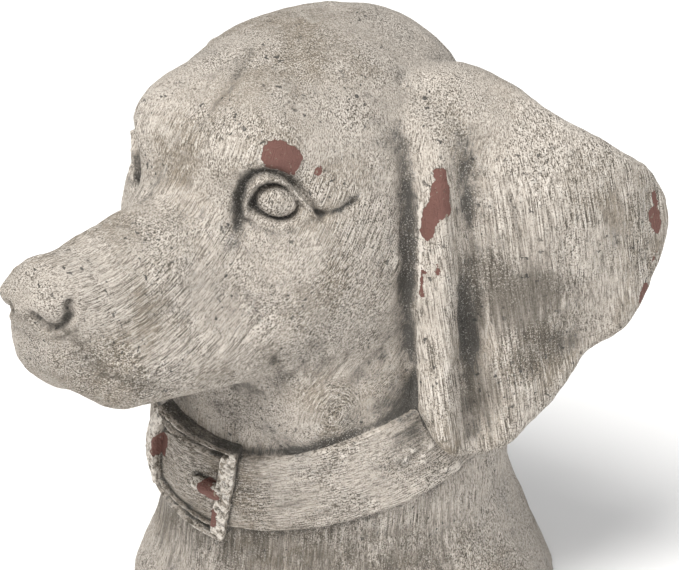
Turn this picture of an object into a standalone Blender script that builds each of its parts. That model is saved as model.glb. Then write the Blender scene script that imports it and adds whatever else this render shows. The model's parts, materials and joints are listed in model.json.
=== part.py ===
"""Cast stone bust of a puppy with a buckled collar: one solid that stands on its flat underside.

The puppy faces -Y, its left side is +X, and the origin is the centre of the flat underside. The
figure is modelled as a sculptor blocks it out: rounded masses of skull, muzzle, neck and ears run
into each other, then the eyes, nose, lips and strap are worked into that surface. Places on the
figure are counted in parts from the midpoint between the eyes: 57 parts from eye to eye. The
strap, the buckle, the thickness of the ears and the standing height have sizes of their own.
"""
import math

import bmesh
import bpy
import numpy as np

# Driving sizes, in metres and degrees.
EYE_SPACING = 0.057
EYE_LINE_HEIGHT = 0.158
EYE_LINE_FORWARD = 0.060
STRAP_WIDTH = 0.025
STRAP_THICKNESS = 0.0032
STRAP_EDGE = 0.0008
STRAP_PITCH = 15.4
BUCKLE_WIDTH = 0.030
BUCKLE_HEIGHT = 0.033
BUCKLE_TILT = -13.0
BUCKLE_BAR = 0.0042
BUCKLE_RISE = 0.0026
PIN_RADIUS = 0.0028
PIN_LENGTH = 0.010
EAR_THICKNESS = 0.009

# How finely the solid is faceted.
BLANK_GRAIN = 0.0040
SURFACE_GRAIN = 0.0020
FACES_WANTED = 9200

# The figure's own measure: the eyes are 57 parts apart.
PART = EYE_SPACING / 57.0
SIDES = (1.0, -1.0)
FAR_OFF = 40.0


def at(*xyz):
    """A place on the figure, in parts from the midpoint between the eyes."""
    return np.array(xyz, float)


def blend(a, b, width):
    """Union of two shapes with a rounded joint."""
    near = np.maximum(width - np.abs(a - b), 0.0) / width
    return np.minimum(a, b) - near * near * width * 0.25


def carve(a, b, width):
    """Shape a with b taken out of it, and a rounded edge."""
    return -blend(-a, b, width)


def plate(edge, face, rounding):
    """A plate with rounded edges, from the distances to its outline and to its faces."""
    over_edge = edge + rounding
    over_face = face + rounding
    outside = np.hypot(np.maximum(over_edge, 0.0), np.maximum(over_face, 0.0))
    return outside + np.minimum(np.maximum(over_edge, over_face), 0.0) - rounding


def chain(p, places):
    """Least distance to a line of places."""
    best = np.full(len(p), FAR_OFF)
    for start, end in zip(places[:-1], places[1:]):
        axis = end - start
        along = np.clip((p - start) @ axis / (axis @ axis), 0.0, 1.0)
        best = np.minimum(best, np.linalg.norm(p - start - along[:, None] * axis, axis=1))
    return best


class Egg:
    """A rounded mass with a radius along each axis."""

    def __init__(self, centre, radii):
        self.centre = at(*centre)
        self.radii = at(*radii)

    def distance(self, p):
        q = p - self.centre
        far = np.linalg.norm(q / self.radii, axis=1)
        steep = np.linalg.norm(q / (self.radii * self.radii), axis=1)
        return far * (far - 1.0) / np.maximum(steep, 1e-9)

    def lumps(self):
        return [(self.centre, self.radii)]


class Limb:
    """A tapered mass between two places, narrowed across X by squeeze."""

    def __init__(self, start, end, start_radius, end_radius, squeeze=1.0):
        self.start = at(*start)
        self.end = at(*end)
        self.start_radius = start_radius
        self.end_radius = end_radius
        self.squeeze = squeeze

    def distance(self, p):
        q = p.copy()
        q[:, 0] = self.start[0] + (q[:, 0] - self.start[0]) / self.squeeze
        axis = self.end - self.start
        along = np.clip((q - self.start) @ axis / (axis @ axis), 0.0, 1.0)
        radius = self.start_radius + (self.end_radius - self.start_radius) * along
        return np.linalg.norm(q - self.start - along[:, None] * axis, axis=1) - radius

    def lumps(self):
        length = np.linalg.norm(self.end - self.start)
        count = 2 + int(2.5 * length / min(self.start_radius, self.end_radius))
        found = []
        for share in np.linspace(0.0, 1.0, count):
            radius = self.start_radius + (self.end_radius - self.start_radius) * share
            radii = at(radius * self.squeeze, radius, radius)
            found.append((self.start + (self.end - self.start) * share, radii))
        return found


def pair(make, start, *rest):
    """A mass on the puppy's left and the same on its right; rest may start with a second place."""
    masses = []
    for side in SIDES:
        mirrored = [(side * start[0],) + tuple(start[1:])]
        for value in rest:
            is_place = isinstance(value, tuple) and value in rest[:1] and make is Limb
            mirrored.append((side * value[0],) + tuple(value[1:]) if is_place else value)
        masses.append(make(*mirrored))
    return masses


SKULL = [Egg((0, 44.5, -6), (43, 55, 44.5))] + pair(Egg, (16, 7.5, 8), (11.5, 13.5, 15))
CHEEKS = pair(Egg, (26.5, 28, -28), (17.5, 33, 27))
MUZZLE = (
    [Limb((0, -6, -30), (0, -54, -29), 22, 18, 0.9)]
    + pair(Limb, (7, -4, -18), (5, -60, -22), 12, 9)
    + pair(Limb, (19, -1, -46), (12.5, -49, -43), 14, 12.5)
)
NOSE = [Egg((0, -66.5, -17.5), (13.5, 11.5, 10))] + pair(Egg, (6.5, -59.5, -33.5), (9, 11, 12.5))
JAW = [Limb((0, 5, -44), (0, -48, -45), 16, 8)]
JOWLS = pair(Egg, (25.5, 13, -68), (12, 13, 12.5))
NECK = [
    Limb((0, 48, -40), (0, 56, -100), 45, 51.5),
    Limb((0, 20, -40), (0, 48, -92), 26, 35.5),
    Limb((0, 30, -84), (0, 36, -128), 30, 29),
    Limb((0, 71, -3), (0, 74, -60), 33, 40),
]
CHEST = Limb((0, 60.5, -116), (0, 62, -172), 52, 74.5)
EAR_ROOT = pair(Limb, (20, 62, -1), (40, 68, 5), 25, 14)
EAR_BACKING = pair(Limb, (38, 55, 6), (52, 55, -86), 12, 9)


def gather(p, masses, width):
    """All the masses run into each other."""
    joined = masses[0].distance(p)
    for mass in masses[1:]:
        joined = blend(joined, mass.distance(p), width)
    return joined


# The ear hangs in a slanting plane, set out by three places on the head.
EAR_TOP = at(41, 44, 23.3)
EAR_REAR = at(90, 109.2, -18.9)
EAR_TIP = at(62, 47.9, -90.8)
EAR_OUT = np.cross(EAR_TIP - EAR_TOP, EAR_REAR - EAR_TOP)
EAR_OUT = EAR_OUT / np.linalg.norm(EAR_OUT)
EAR_ACROSS = np.cross((0.0, 0.0, 1.0), EAR_OUT)
EAR_ACROSS = EAR_ACROSS / np.linalg.norm(EAR_ACROSS)
EAR_DOWN = np.cross(EAR_ACROSS, EAR_OUT)

# Outline of the ear, across and down from its top front corner, in parts.
EAR_OUTLINE = (
    (1, 5), (7, 0), (18, -1), (33, 3.5), (51, 13), (68, 24), (80, 34.5), (85, 46), (82.8, 58.6), (77, 69.8),
    (67.9, 80.7), (57, 87.7), (47.7, 96.9), (38.9, 104.9), (30.5, 112.3), (20, 116.5), (11, 114.5),
    (5, 108.5), (1, 99), (0, 84), (0, 45),
)
OUTLINE_STEPS = 3
FLAP_CELL = 4.0
EAR_ROOM = (at(4, 20, -118), at(128, 138, 62))
RIGHT_EAR_SET = at(0, 4, 5)


def closed_curve(points, steps):
    """A smooth closed curve through the points."""
    count = len(points)
    knots = np.array(points, float)
    curve = []
    for index in range(count):
        before, start, end, after = (knots[(index + shift) % count] for shift in (-1, 0, 1, 2))
        for step in range(steps):
            t = step / steps
            value = 2 * start + (end - before) * t + (2 * before - 5 * start + 4 * end - after) * t * t
            curve.append(0.5 * (value + (3 * start - before - 3 * end + after) * t ** 3))
    return np.array(curve)


EAR_CURVE = closed_curve(EAR_OUTLINE, OUTLINE_STEPS)


def inside_outline(q, curve):
    """Distance in a plane to a closed curve, negative inside it."""
    best = np.full(len(q), 1e9)
    sign = np.ones(len(q))
    for start, end in zip(curve, np.roll(curve, -1, axis=0)):
        edge = end - start
        w = q - start
        along = np.clip(w @ edge / (edge @ edge), 0.0, 1.0)
        best = np.minimum(best, np.linalg.norm(w - along[:, None] * edge, axis=1))
        above = q[:, 1] >= start[1]
        below = q[:, 1] < end[1]
        turn = edge[0] * w[:, 1] > edge[1] * w[:, 0]
        crossed = (above & below & turn) | (~above & ~below & ~turn)
        sign = np.where(crossed, -sign, sign)
    return best * sign


def rise(value, start, length):
    """Goes softly from 0 before start to 1 after it."""
    return 1.0 / (1.0 + np.exp(-4.0 * (value - start) / length))


def hump(value, centre, spread):
    """A soft hill of unit height."""
    return np.exp(-((value - centre) / spread) ** 2)


def ear_relief(across, down):
    """How far the middle of the ear stands out of its plane: rolls, trough and hollow."""
    hangs = rise(down, 12, 14)
    front_roll = 4.5 * hangs * hump(across, 8.5, 5.5)
    front_turn = -5.0 * np.exp(-np.maximum(across + 1, 0) / 3.0)
    trough_line = 17.0 + 2.0 * hump(down, 52, 25)
    depth = 3.5 + 2.5 * hump(down, 78, 24) + 2.0 * hump(down, 28, 14)
    trough = -depth * hangs * hump(across, trough_line, 6.5)
    belly = 7.0 * hump(across, 44, 19) * hump(down, 38, 30)
    hollow = -6.0 * hump(across, 54, 11) * hump(down, 84, 11)
    ridge = 2.5 * hump(across, 30, 7) * hump(down, 92, 18)
    rear_turn = -8.0 * rise(across, 75, 14)
    top_turn = -19.0 * rise(-down, -13, 24) * (1 - 0.9 * rise(across, 54, 34))
    return front_roll + front_turn + trough + belly + hollow + ridge + rear_turn + top_turn


def ear(p):
    """One ear, a hanging flap with rolled edges."""
    q = p - EAR_TOP
    across = q @ EAR_ACROSS
    down = q @ EAR_DOWN
    half = EAR_THICKNESS / PART / 2
    edge = inside_outline(np.stack([across, down], 1), EAR_CURVE)
    return plate(edge, np.abs(q @ EAR_OUT - ear_relief(across, down)) - half, 0.9 * half)


def mirrored_left(p):
    """The same places folded over to the puppy's left."""
    side = p.copy()
    side[:, 0] = np.abs(side[:, 0])
    return side


def ear_side(p):
    """Places as the left ear sees them: the right ear is set a little lower and further forward."""
    side = mirrored_left(p)
    side[p[:, 0] < 0] += RIGHT_EAR_SET
    return side


def as_placed(p):
    """The same places, for what lies on the middle line."""
    return p


def ears(p):
    """Both ears with the roots that carry them and the stone left behind their front edges."""
    side = ear_side(p)
    near = np.all((side > EAR_ROOM[0]) & (side < EAR_ROOM[1]), axis=1)
    side = side[near]
    shape = np.full(len(p), FAR_OFF)
    rooted = blend(ear(side), EAR_ROOT[0].distance(side), 20.0)
    shape[near] = blend(rooted, EAR_BACKING[0].distance(side), 3.0)
    return shape


def bare_head(p):
    """Skull, cheeks, muzzle, jaw and nose, with no eyes yet."""
    head = gather(p, SKULL, 16.0)
    for cheek in CHEEKS:
        head = blend(head, cheek.distance(p), 18.0)
    face = blend(gather(p, MUZZLE, 12.0), JAW[0].distance(p), 4.0)
    face = blend(face, gather(p, NOSE, 5.0), 6.0)
    head = blend(head, face, 13.0)
    for jowl in JOWLS:
        head = blend(head, jowl.distance(p), 8.0)
    return head


# Each eye looks forward and outward. Its own axes: outward along the lids, up, and out.
EYE_PLACE = at(28.5, 0.8, -0.1)
EYE_TURN = math.radians(43)
EYE_ALONG = at(math.cos(EYE_TURN), math.sin(EYE_TURN), 0)
EYE_OUT = at(math.sin(EYE_TURN), -math.cos(EYE_TURN), 0.12)
EYE_OUT = EYE_OUT / np.linalg.norm(EYE_OUT)
EYE_RISE = np.cross(EYE_OUT, EYE_ALONG)
EYE_AXES = np.stack([EYE_ALONG, EYE_RISE, EYE_OUT], 1)
EYE_SOCKET = Egg((0, 0.5, 5.5), (12.5, 9.5, 6.5))
EYEBALL = Egg((0.4, 0.0, -4.0), (10.0, 7.5, 5.0))
LID_HEIGHT = 2.0
LID_SPREAD = 2.0
FOLD_DEPTH = 1.8
LID_POINTS = 9
EYE_ROOM = 24.0
EYE_REACH = 15.0


def socketed(p):
    """The head with a socket let in for each eye."""
    local = (mirrored_left(p) - EYE_PLACE) @ EYE_AXES
    return carve(bare_head(p), EYE_SOCKET.distance(local), 3.0)


def lid(half_width, height, droop):
    """Places along a lid on the socket's floor, from the inner corner to the outer, in the eye's axes."""
    share = np.linspace(-1.0, 1.0, LID_POINTS)
    along = half_width * share
    up = height * (1 - share * share) + droop * share
    out = np.zeros(LID_POINTS)
    for _ in range(8):
        local = np.stack([along, up, out], 1)
        out = out - socketed(EYE_PLACE + local @ EYE_AXES.T)
    return np.stack([along, up, out], 1)


UPPER_LID = lid(9.8, 5.8, -1.6)
LOWER_LID = lid(7.8, -5.2, -0.8)
LID_FOLD = lid(10.5, 9.6, -1.6)


def eyes(p):
    """The head with its eyes: a socket, an eyeball, two lids and the fold above."""
    side = mirrored_left(p)
    near = np.linalg.norm(side - EYE_PLACE, axis=1) < EYE_ROOM
    local = (side[near] - EYE_PLACE) @ EYE_AXES
    shape = blend(socketed(side[near]), EYEBALL.distance(local), 1.5)
    lids = np.minimum(chain(local, UPPER_LID), chain(local, LOWER_LID))
    shape = shape - LID_HEIGHT * hump(lids, 0.0, LID_SPREAD)
    shape = shape + FOLD_DEPTH * hump(chain(local, LID_FOLD), 0.0, LID_SPREAD)
    whole = bare_head(p)
    whole[near] = shape
    return whole


# Lines scored into the surface: places, width, depth, and how the figure's places are seen from there.
SCORES = (
    (((39, 43, 21), (42, 42, 14), (45, 41, 4), (47, 39, -9), (48, 38, -40), (49, 38, -72)), 2.4, 4.5, ear_side),
    (((5, -77.5, -19.5), (8.5, -75.5, -23), (12, -72.5, -22), (13.5, -70, -17)), 1.7, 2.6, mirrored_left),
    (((0, -79, -21), (0, -77, -30), (0, -73, -40), (0, -66, -48)), 1.3, 1.3, as_placed),
    (((13, -71, -25), (15, -68, -31), (18.5, -63, -39), (25, -52, -45)), 2.2, 1.2, mirrored_left),
)
SCORE_REACH = 3.0
NOSE_TIP = at(8, -74, -20)
NOSE_REACH = 16.0


def scored(p):
    """How deep the scored lines go at each place."""
    depth = np.zeros(len(p))
    for line, width, deep, seen_from in SCORES:
        places = np.array(line, float)
        source = seen_from(p)
        reach = SCORE_REACH * width
        low = places.min(axis=0) - reach
        high = places.max(axis=0) + reach
        near = np.all((source > low) & (source < high), axis=1)
        depth[near] += deep * np.exp(-(chain(source[near], places) / width) ** 2)
    return depth


def neck(p):
    """Throat, nape, neck and the start of the chest."""
    return blend(gather(p, NECK, 18.0), CHEST.distance(p), 16.0)


def figure(p):
    """The whole figure without its collar: negative inside."""
    body = blend(eyes(p), neck(p), 12.0)
    return blend(body, ears(p), 3.0) + scored(p)


# The strap lies in a plane that tips down at the throat; its own axes are up, ahead and left.
STRAP_CENTRE = at(0, 54.5, -87)
STRAP_TIP = math.radians(STRAP_PITCH)
STRAP_UP = at(0, -math.sin(STRAP_TIP), math.cos(STRAP_TIP))
STRAP_AHEAD = at(0, -math.cos(STRAP_TIP), -math.sin(STRAP_TIP))
NECK_RADIUS = 52.0
BURIED = 3.5
STRAP_STEPS = 64
CORNER_STEPS = 4
PIN_STEPS = 4
PIN_RISE = 0.8
BUCKLE_TURN = -0.07
BUCKLE_LIFT = 3.5
BUCKLE_BOW = 3.0
BUCKLE_BULGE = 1.5
BOW_STATIONS = (0.75, 0.5, 0.25, 0.0, -0.25, -0.5, -0.75)
CORNER_REACH = 0.56
CORNER_SQUARENESS = 0.4


def on_neck(turn, height, rise_from_neck):
    """Places around the strap's axis that stand off the neck by that much."""
    outward = np.outer(np.cos(turn), STRAP_AHEAD) + np.outer(np.sin(turn), at(1, 0, 0))
    foot = STRAP_CENTRE + np.outer(height, STRAP_UP)
    radius = np.full(len(turn), NECK_RADIUS)
    for _ in range(8):
        radius = radius - (neck(foot + radius[:, None] * outward) - rise_from_neck)
    return foot + radius[:, None] * outward


def on_buckle(across, up, rise_from_neck):
    """Places on the neck across and up from the buckle's middle, in the buckle's own tilted axes."""
    tilt = math.radians(BUCKLE_TILT)
    around = across * math.cos(tilt) - up * math.sin(tilt)
    height = across * math.sin(tilt) + up * math.cos(tilt)
    return on_neck(BUCKLE_TURN + around / NECK_RADIUS, BUCKLE_LIFT + height, rise_from_neck)


CORNERS = np.array(((1, 1, 1), (1, -1, -1), (-1, 1, -1), (-1, -1, 1)), float)


def settle(places, field, rounds):
    """Move places onto the surface where the distance is nil."""
    step = 0.05
    for _ in range(rounds):
        around = [field(places + step * corner) for corner in CORNERS]
        direction = sum(value[:, None] * corner for value, corner in zip(around, CORNERS)) / (4 * step)
        length = np.maximum(np.linalg.norm(direction, axis=1), 0.6)
        move = (sum(around) / 4)[:, None] * direction / (length * length)[:, None]
        reach = np.linalg.norm(move, axis=1, keepdims=True)
        places = places - move * np.minimum(1.0, 3.0 / np.maximum(reach, 1e-9))
    return places


def from_eyes(places):
    """World place, in metres, of places counted in parts from the eyes."""
    return places * PART + np.array((0.0, -EYE_LINE_FORWARD, EYE_LINE_HEIGHT))


def to_eyes(places):
    """Places counted in parts from the eyes, of world places in metres."""
    return (places - np.array((0.0, -EYE_LINE_FORWARD, EYE_LINE_HEIGHT))) / PART


def vertices_of(mesh):
    """World places of a mesh's vertices."""
    flat = np.empty(len(mesh.vertices) * 3)
    mesh.vertices.foreach_get("co", flat)
    return flat.reshape(-1, 3)


def ball(bm, centre, radii):
    """A rounded lump of the rough blank."""
    made = bmesh.ops.create_icosphere(bm, subdivisions=3, radius=1.0)
    for vert in made["verts"]:
        vert.co = from_eyes(centre + np.array(vert.co) * radii)


def ear_blank(bm, side):
    """The flap of an ear: a grid cut to the outline, curved and thickened."""
    low = EAR_CURVE.min(axis=0)
    high = EAR_CURVE.max(axis=0)
    cells = [int(size / FLAP_CELL) for size in high - low]
    made = bmesh.ops.create_grid(bm, x_segments=cells[0], y_segments=cells[1], size=0.5)["verts"]
    flat = np.array([vert.co[:2] for vert in made]) + 0.5
    places = low + flat * (high - low)
    outside = inside_outline(places, EAR_CURVE) > 0.4 * FLAP_CELL
    half = EAR_THICKNESS / PART / 2
    relief = ear_relief(places[:, 0], places[:, 1]) + half
    corner = EAR_TOP if side > 0 else EAR_TOP - RIGHT_EAR_SET
    for vert, (across, down), out in zip(made, places, relief):
        place = corner + across * EAR_ACROSS + down * EAR_DOWN + out * EAR_OUT
        vert.co = from_eyes(place * np.array((side, 1.0, 1.0)))
    kept = [vert for vert, gone in zip(made, outside) if not gone]
    bmesh.ops.delete(bm, geom=[vert for vert, gone in zip(made, outside) if gone], context="VERTS")
    faces = list({face for vert in kept for face in vert.link_faces})
    bmesh.ops.recalc_face_normals(bm, faces=faces)
    if sum(face.normal.x for face in faces) * side < 0:
        bmesh.ops.reverse_faces(bm, faces=faces)
    bmesh.ops.solidify(bm, geom=faces, thickness=EAR_THICKNESS)


def swept(name, rings, closed):
    """A closed mesh through equal rings of places."""
    bm = bmesh.new()
    rows = [[bm.verts.new(from_eyes(place)) for place in ring] for ring in rings]
    follow = rows[1:] + rows[:1] if closed else rows[1:]
    for row, after in zip(rows, follow):
        for index in range(len(row)):
            beside = (index + 1) % len(row)
            bm.faces.new((row[index], row[beside], after[beside], after[index]))
    if not closed:
        bm.faces.new(list(reversed(rows[0])))
        bm.faces.new(rows[-1])
    bmesh.ops.recalc_face_normals(bm, faces=bm.faces[:])
    mesh = bpy.data.meshes.new(name)
    bm.to_mesh(mesh)
    bm.free()
    piece = bpy.data.objects.new(name, mesh)
    bpy.context.scene.collection.objects.link(piece)
    return piece


def make_strap():
    """The strap: a band around the neck, sunk a little into it."""
    half = STRAP_WIDTH / PART / 2
    thick = STRAP_THICKNESS / PART
    edge = STRAP_EDGE / PART
    profile = [(-half, -BURIED), (-half, thick - edge), (-half + edge, thick), (-0.5 * half, thick + 0.3)]
    profile += [(0.0, thick + 0.4)] + [(-height, rise_up) for height, rise_up in reversed(profile)]
    rings = []
    for turn in np.linspace(0.0, 2 * math.pi, STRAP_STEPS, endpoint=False):
        heights, rises = np.array(profile).T
        rings.append(on_neck(np.full(len(profile), turn), heights, rises))
    return swept("strap", rings, True)


def buckle_line():
    """Middle line of the buckle's bar and its outward side, with its rise where the far bar bulges."""
    wide = (BUCKLE_WIDTH - BUCKLE_BAR) / PART / 2
    tall = (BUCKLE_HEIGHT - BUCKLE_BAR) / PART / 2
    corner = CORNER_REACH * BUCKLE_BAR / PART
    line = []
    for quarter in range(4):
        sign_x = (1, -1, -1, 1)[quarter]
        sign_z = (1, 1, -1, -1)[quarter]
        for step in range(CORNER_STEPS + 1):
            share = step / CORNER_STEPS if quarter % 2 == 0 else 1 - step / CORNER_STEPS
            out_x = sign_x * math.cos(math.pi / 2 * share) ** CORNER_SQUARENESS
            out_z = sign_z * math.sin(math.pi / 2 * share) ** CORNER_SQUARENESS
            x = sign_x * (wide - corner) + corner * out_x
            z = sign_z * (tall - corner) + corner * out_z
            line.append((x, z, out_x, out_z, 0.0))
        if quarter == 1:
            for height in BOW_STATIONS:
                bulge = 1 - height ** 2
                line.append((-wide - BUCKLE_BOW * bulge, height * tall, -1.0, 0.0, BUCKLE_BULGE * bulge))
    return line


def make_frame():
    """The buckle's frame, standing proud of the strap."""
    half = BUCKLE_BAR / PART / 2
    top = (STRAP_THICKNESS + BUCKLE_RISE) / PART
    bevel = STRAP_EDGE / PART
    profile = [(-half, -BURIED), (-half, top - bevel), (-half + bevel, top), (half - bevel, top)]
    profile += [(half, top - bevel), (half, -BURIED)]
    rings = []
    for x, z, out_x, out_z, bulge in buckle_line():
        across = np.array([x + out_x * shift for shift, _ in profile])
        up = np.array([z + out_z * shift for shift, _ in profile])
        rises = np.array([value + (bulge if value > 0 else 0.0) for _, value in profile])
        rings.append(on_buckle(across, up, rises))
    return swept("buckle", rings, True)


def make_pin():
    """The stub of the buckle's pin, lying on the near bar."""
    radius = PIN_RADIUS / PART
    middle = (STRAP_THICKNESS + 0.5 * BUCKLE_RISE) / PART
    start = (BUCKLE_WIDTH - 1.2 * BUCKLE_BAR) / PART / 2
    length = PIN_LENGTH / PART
    rings = []
    for share in np.linspace(0.0, 1.0, PIN_STEPS):
        across = start - length * share
        thickness = radius * (1.0 - 0.25 * share)
        turn = np.linspace(0.0, 2 * math.pi, 10, endpoint=False)
        up = PIN_RISE + thickness * np.cos(turn)
        rises = middle + thickness * np.sin(turn)
        rings.append(on_buckle(np.full(10, across), up, rises))
    return swept("pin", rings, False)


def blank():
    """The rough blank: overlapping lumps for head, neck and ears."""
    bm = bmesh.new()
    masses = SKULL + CHEEKS + MUZZLE + NOSE + JAW + JOWLS + NECK + [CHEST] + EAR_ROOT + EAR_BACKING
    for mass in masses:
        for centre, radii in mass.lumps():
            ball(bm, centre, radii)
    for side in SIDES:
        ear_blank(bm, side)
    mesh = bpy.data.meshes.new("dog_bust")
    bm.to_mesh(mesh)
    bm.free()
    body = bpy.data.objects.new("dog_bust", mesh)
    bpy.context.scene.collection.objects.link(body)
    return body


def keep_evaluated(body):
    """Make the modified mesh the object's own and drop the modifiers."""
    graph = bpy.context.evaluated_depsgraph_get()
    mesh = bpy.data.meshes.new_from_object(body.evaluated_get(graph), depsgraph=graph)
    old = body.data
    body.modifiers.clear()
    body.data = mesh
    bpy.data.meshes.remove(old)
    mesh.name = "dog_bust"


def reskin(body, grain):
    """Replace the mesh by one even skin around all that overlaps."""
    skin = body.modifiers.new("skin", "REMESH")
    skin.mode = "VOXEL"
    skin.voxel_size = grain
    keep_evaluated(body)


def relax(body, rounds):
    """Even out the mesh before it is pressed onto the surface again."""
    smooth = body.modifiers.new("relax", "SMOOTH")
    smooth.factor = 0.5
    smooth.iterations = rounds
    keep_evaluated(body)


def press(body, field, rounds):
    """Move every vertex onto the figure's surface."""
    places = settle(to_eyes(vertices_of(body.data)), field, rounds)
    body.data.vertices.foreach_set("co", from_eyes(places).ravel())
    body.data.update()


def refine(body, centre, reach):
    """Halve the faces near a place, on both sides."""
    bm = bmesh.new()
    bm.from_mesh(body.data)
    places = mirrored_left(to_eyes(np.array([vert.co[:] for vert in bm.verts])))
    near = np.linalg.norm(places - centre, axis=1) < reach
    edges = [edge for edge in bm.edges if near[edge.verts[0].index] and near[edge.verts[1].index]]
    bmesh.ops.subdivide_edges(bm, edges=edges, cuts=1, use_grid_fill=True)
    bm.to_mesh(body.data)
    bm.free()


def join(body, piece):
    """Make the piece one with the body."""
    union = body.modifiers.new("union", "BOOLEAN")
    union.operation = "UNION"
    union.object = piece
    keep_evaluated(body)
    bpy.data.objects.remove(piece, do_unlink=True)


def thin_out(body):
    """Reduce the faces most where the surface is plain."""
    total = sum(len(polygon.vertices) - 2 for polygon in body.data.polygons)
    fewer = body.modifiers.new("fewer", "DECIMATE")
    fewer.ratio = min(1.0, FACES_WANTED / total)
    keep_evaluated(body)


def cut_flat(body):
    """Cut the bust off flat at the ground and close the cut."""
    bm = bmesh.new()
    bm.from_mesh(body.data)
    everything = bm.verts[:] + bm.edges[:] + bm.faces[:]
    cut = bmesh.ops.bisect_plane(
        bm, geom=everything, plane_co=(0, 0, 0), plane_no=(0, 0, 1), clear_inner=True, dist=1e-6
    )
    rim = [item for item in cut["geom_cut"] if isinstance(item, bmesh.types.BMEdge)]
    bmesh.ops.contextual_create(bm, geom=rim)
    for vert in bm.verts:
        if abs(vert.co.z) < 1e-5:
            vert.co.z = 0.0
    bmesh.ops.triangulate(bm, faces=bm.faces[:])
    bmesh.ops.recalc_face_normals(bm, faces=bm.faces[:])
    bm.to_mesh(body.data)
    bm.free()


def stone():
    """Pale, dry cast stone."""
    material = bpy.data.materials.new("cast_stone")
    material.use_nodes = True
    surface = material.node_tree.nodes["Principled BSDF"]
    surface.inputs["Base Color"].default_value = (0.50, 0.46, 0.40, 1.0)
    surface.inputs["Roughness"].default_value = 0.92
    surface.inputs["Metallic"].default_value = 0.0
    return material


def make_bust():
    """The bust, as one closed solid."""
    body = blank()
    reskin(body, BLANK_GRAIN)
    press(body, figure, 4)
    relax(body, 2)
    press(body, figure, 1)
    reskin(body, SURFACE_GRAIN)
    press(body, figure, 1)
    refine(body, EYE_PLACE, EYE_REACH)
    refine(body, NOSE_TIP, NOSE_REACH)
    for _ in range(3):
        relax(body, 1)
        press(body, figure, 1)
    thin_out(body)
    for piece in (make_strap(), make_frame(), make_pin()):
        join(body, piece)
    cut_flat(body)
    body.data.materials.append(stone())
    body.data.shade_smooth()
    body.data.set_sharp_from_angle(angle=math.radians(60))
    return body


for leftover in list(bpy.data.objects):
    bpy.data.objects.remove(leftover, do_unlink=True)
make_bust()
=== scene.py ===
"""Weathered cast-stone bust of a young hound with hanging ears and a moulded, buckled collar.

The puppy faces -Y and its left side is +X. Places on the figure are counted in parts from the
midpoint between the eyes; a part is one fifty-seventh of the eye spacing. The body of the bust is
one fine skin pressed onto the rounded masses of the figure, and the eyes, nose, lips, ear hollows
and hand-worked surface are carved into it. The strap, the buckle and its pin are laid flat, then
wrapped onto the neck. One finish of rubbed, chipped paint on stone dresses them all; it also
carries painted shade in the creases and corners and painted highlights on some raised edges.
"""
from __future__ import annotations

import json
import logging
import math
from dataclasses import dataclass, field
from enum import Enum
from typing import Callable, Sequence

import bmesh
import bpy
import numpy as np
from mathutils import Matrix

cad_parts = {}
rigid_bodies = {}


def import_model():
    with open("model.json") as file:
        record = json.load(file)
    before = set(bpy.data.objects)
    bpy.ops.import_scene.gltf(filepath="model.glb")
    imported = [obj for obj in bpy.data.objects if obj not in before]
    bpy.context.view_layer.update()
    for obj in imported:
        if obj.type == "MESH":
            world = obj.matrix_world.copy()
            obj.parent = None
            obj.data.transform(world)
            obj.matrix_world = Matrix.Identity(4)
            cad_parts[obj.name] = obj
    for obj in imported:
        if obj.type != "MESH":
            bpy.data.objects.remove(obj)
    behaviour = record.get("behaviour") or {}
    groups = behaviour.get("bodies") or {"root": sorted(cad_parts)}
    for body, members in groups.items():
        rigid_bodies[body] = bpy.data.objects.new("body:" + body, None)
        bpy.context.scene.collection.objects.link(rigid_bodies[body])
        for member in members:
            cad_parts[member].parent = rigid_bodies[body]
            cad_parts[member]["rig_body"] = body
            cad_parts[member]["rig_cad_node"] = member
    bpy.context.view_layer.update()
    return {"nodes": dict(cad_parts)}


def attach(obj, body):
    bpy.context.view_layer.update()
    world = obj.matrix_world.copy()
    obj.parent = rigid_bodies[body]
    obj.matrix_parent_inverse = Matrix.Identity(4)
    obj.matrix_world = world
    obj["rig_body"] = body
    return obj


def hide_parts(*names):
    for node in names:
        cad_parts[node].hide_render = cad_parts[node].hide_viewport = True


LOG = logging.getLogger("bust")
PART = 0.001
EYES_IN_WORLD = np.array((0.0, -0.060, 0.158))
GROUND = -EYES_IN_WORLD[2] / PART
SUNK = 3.0
FAR_OFF = 40.0
Place = Sequence[float]
Array = np.ndarray
Field = Callable[[Array], Array]
Piece = bpy.types.Object
NodeValue = bpy.types.NodeSocket


def at(*xyz: float) -> Array:
    """Return a place on the figure, in parts from the midpoint between the eyes."""
    return np.array(xyz, float)


def to_world(places: Array) -> Array:
    """Return world places in metres of places counted in parts."""
    return places * PART + EYES_IN_WORLD


def to_parts(places: Array) -> Array:
    """Return places counted in parts of world places in metres."""
    return (places - EYES_IN_WORLD) / PART


def blend(a: Array, b: Array, width: float) -> Array:
    """Join two shapes with a rounded joint.

    Args:
        a: Distances to the first shape.
        b: Distances to the second shape.
        width: Width of the joint, in parts.

    Returns:
        Distances to the joined shape.
    """
    near = np.maximum(width - np.abs(a - b), 0.0) / width
    return np.minimum(a, b) - near * near * width * 0.25


def rise(value: Array, start: float, length: float) -> Array:
    """Return a soft step from 0 before start to 1 after it."""
    return 1.0 / (1.0 + np.exp(np.clip(-4.0 * (value - start) / length, -60.0, 60.0)))


def hump(value: Array, centre: float, spread: float) -> Array:
    """Return a soft hill of unit height."""
    return np.exp(-((value - centre) / spread) ** 2)


def mirrored_left(p: Array) -> Array:
    """Return the same places folded over to the puppy's left."""
    side = p.copy()
    side[:, 0] = np.abs(side[:, 0])
    return side


RIGHT_EAR_SET = at(0, 4, 5)


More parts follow.
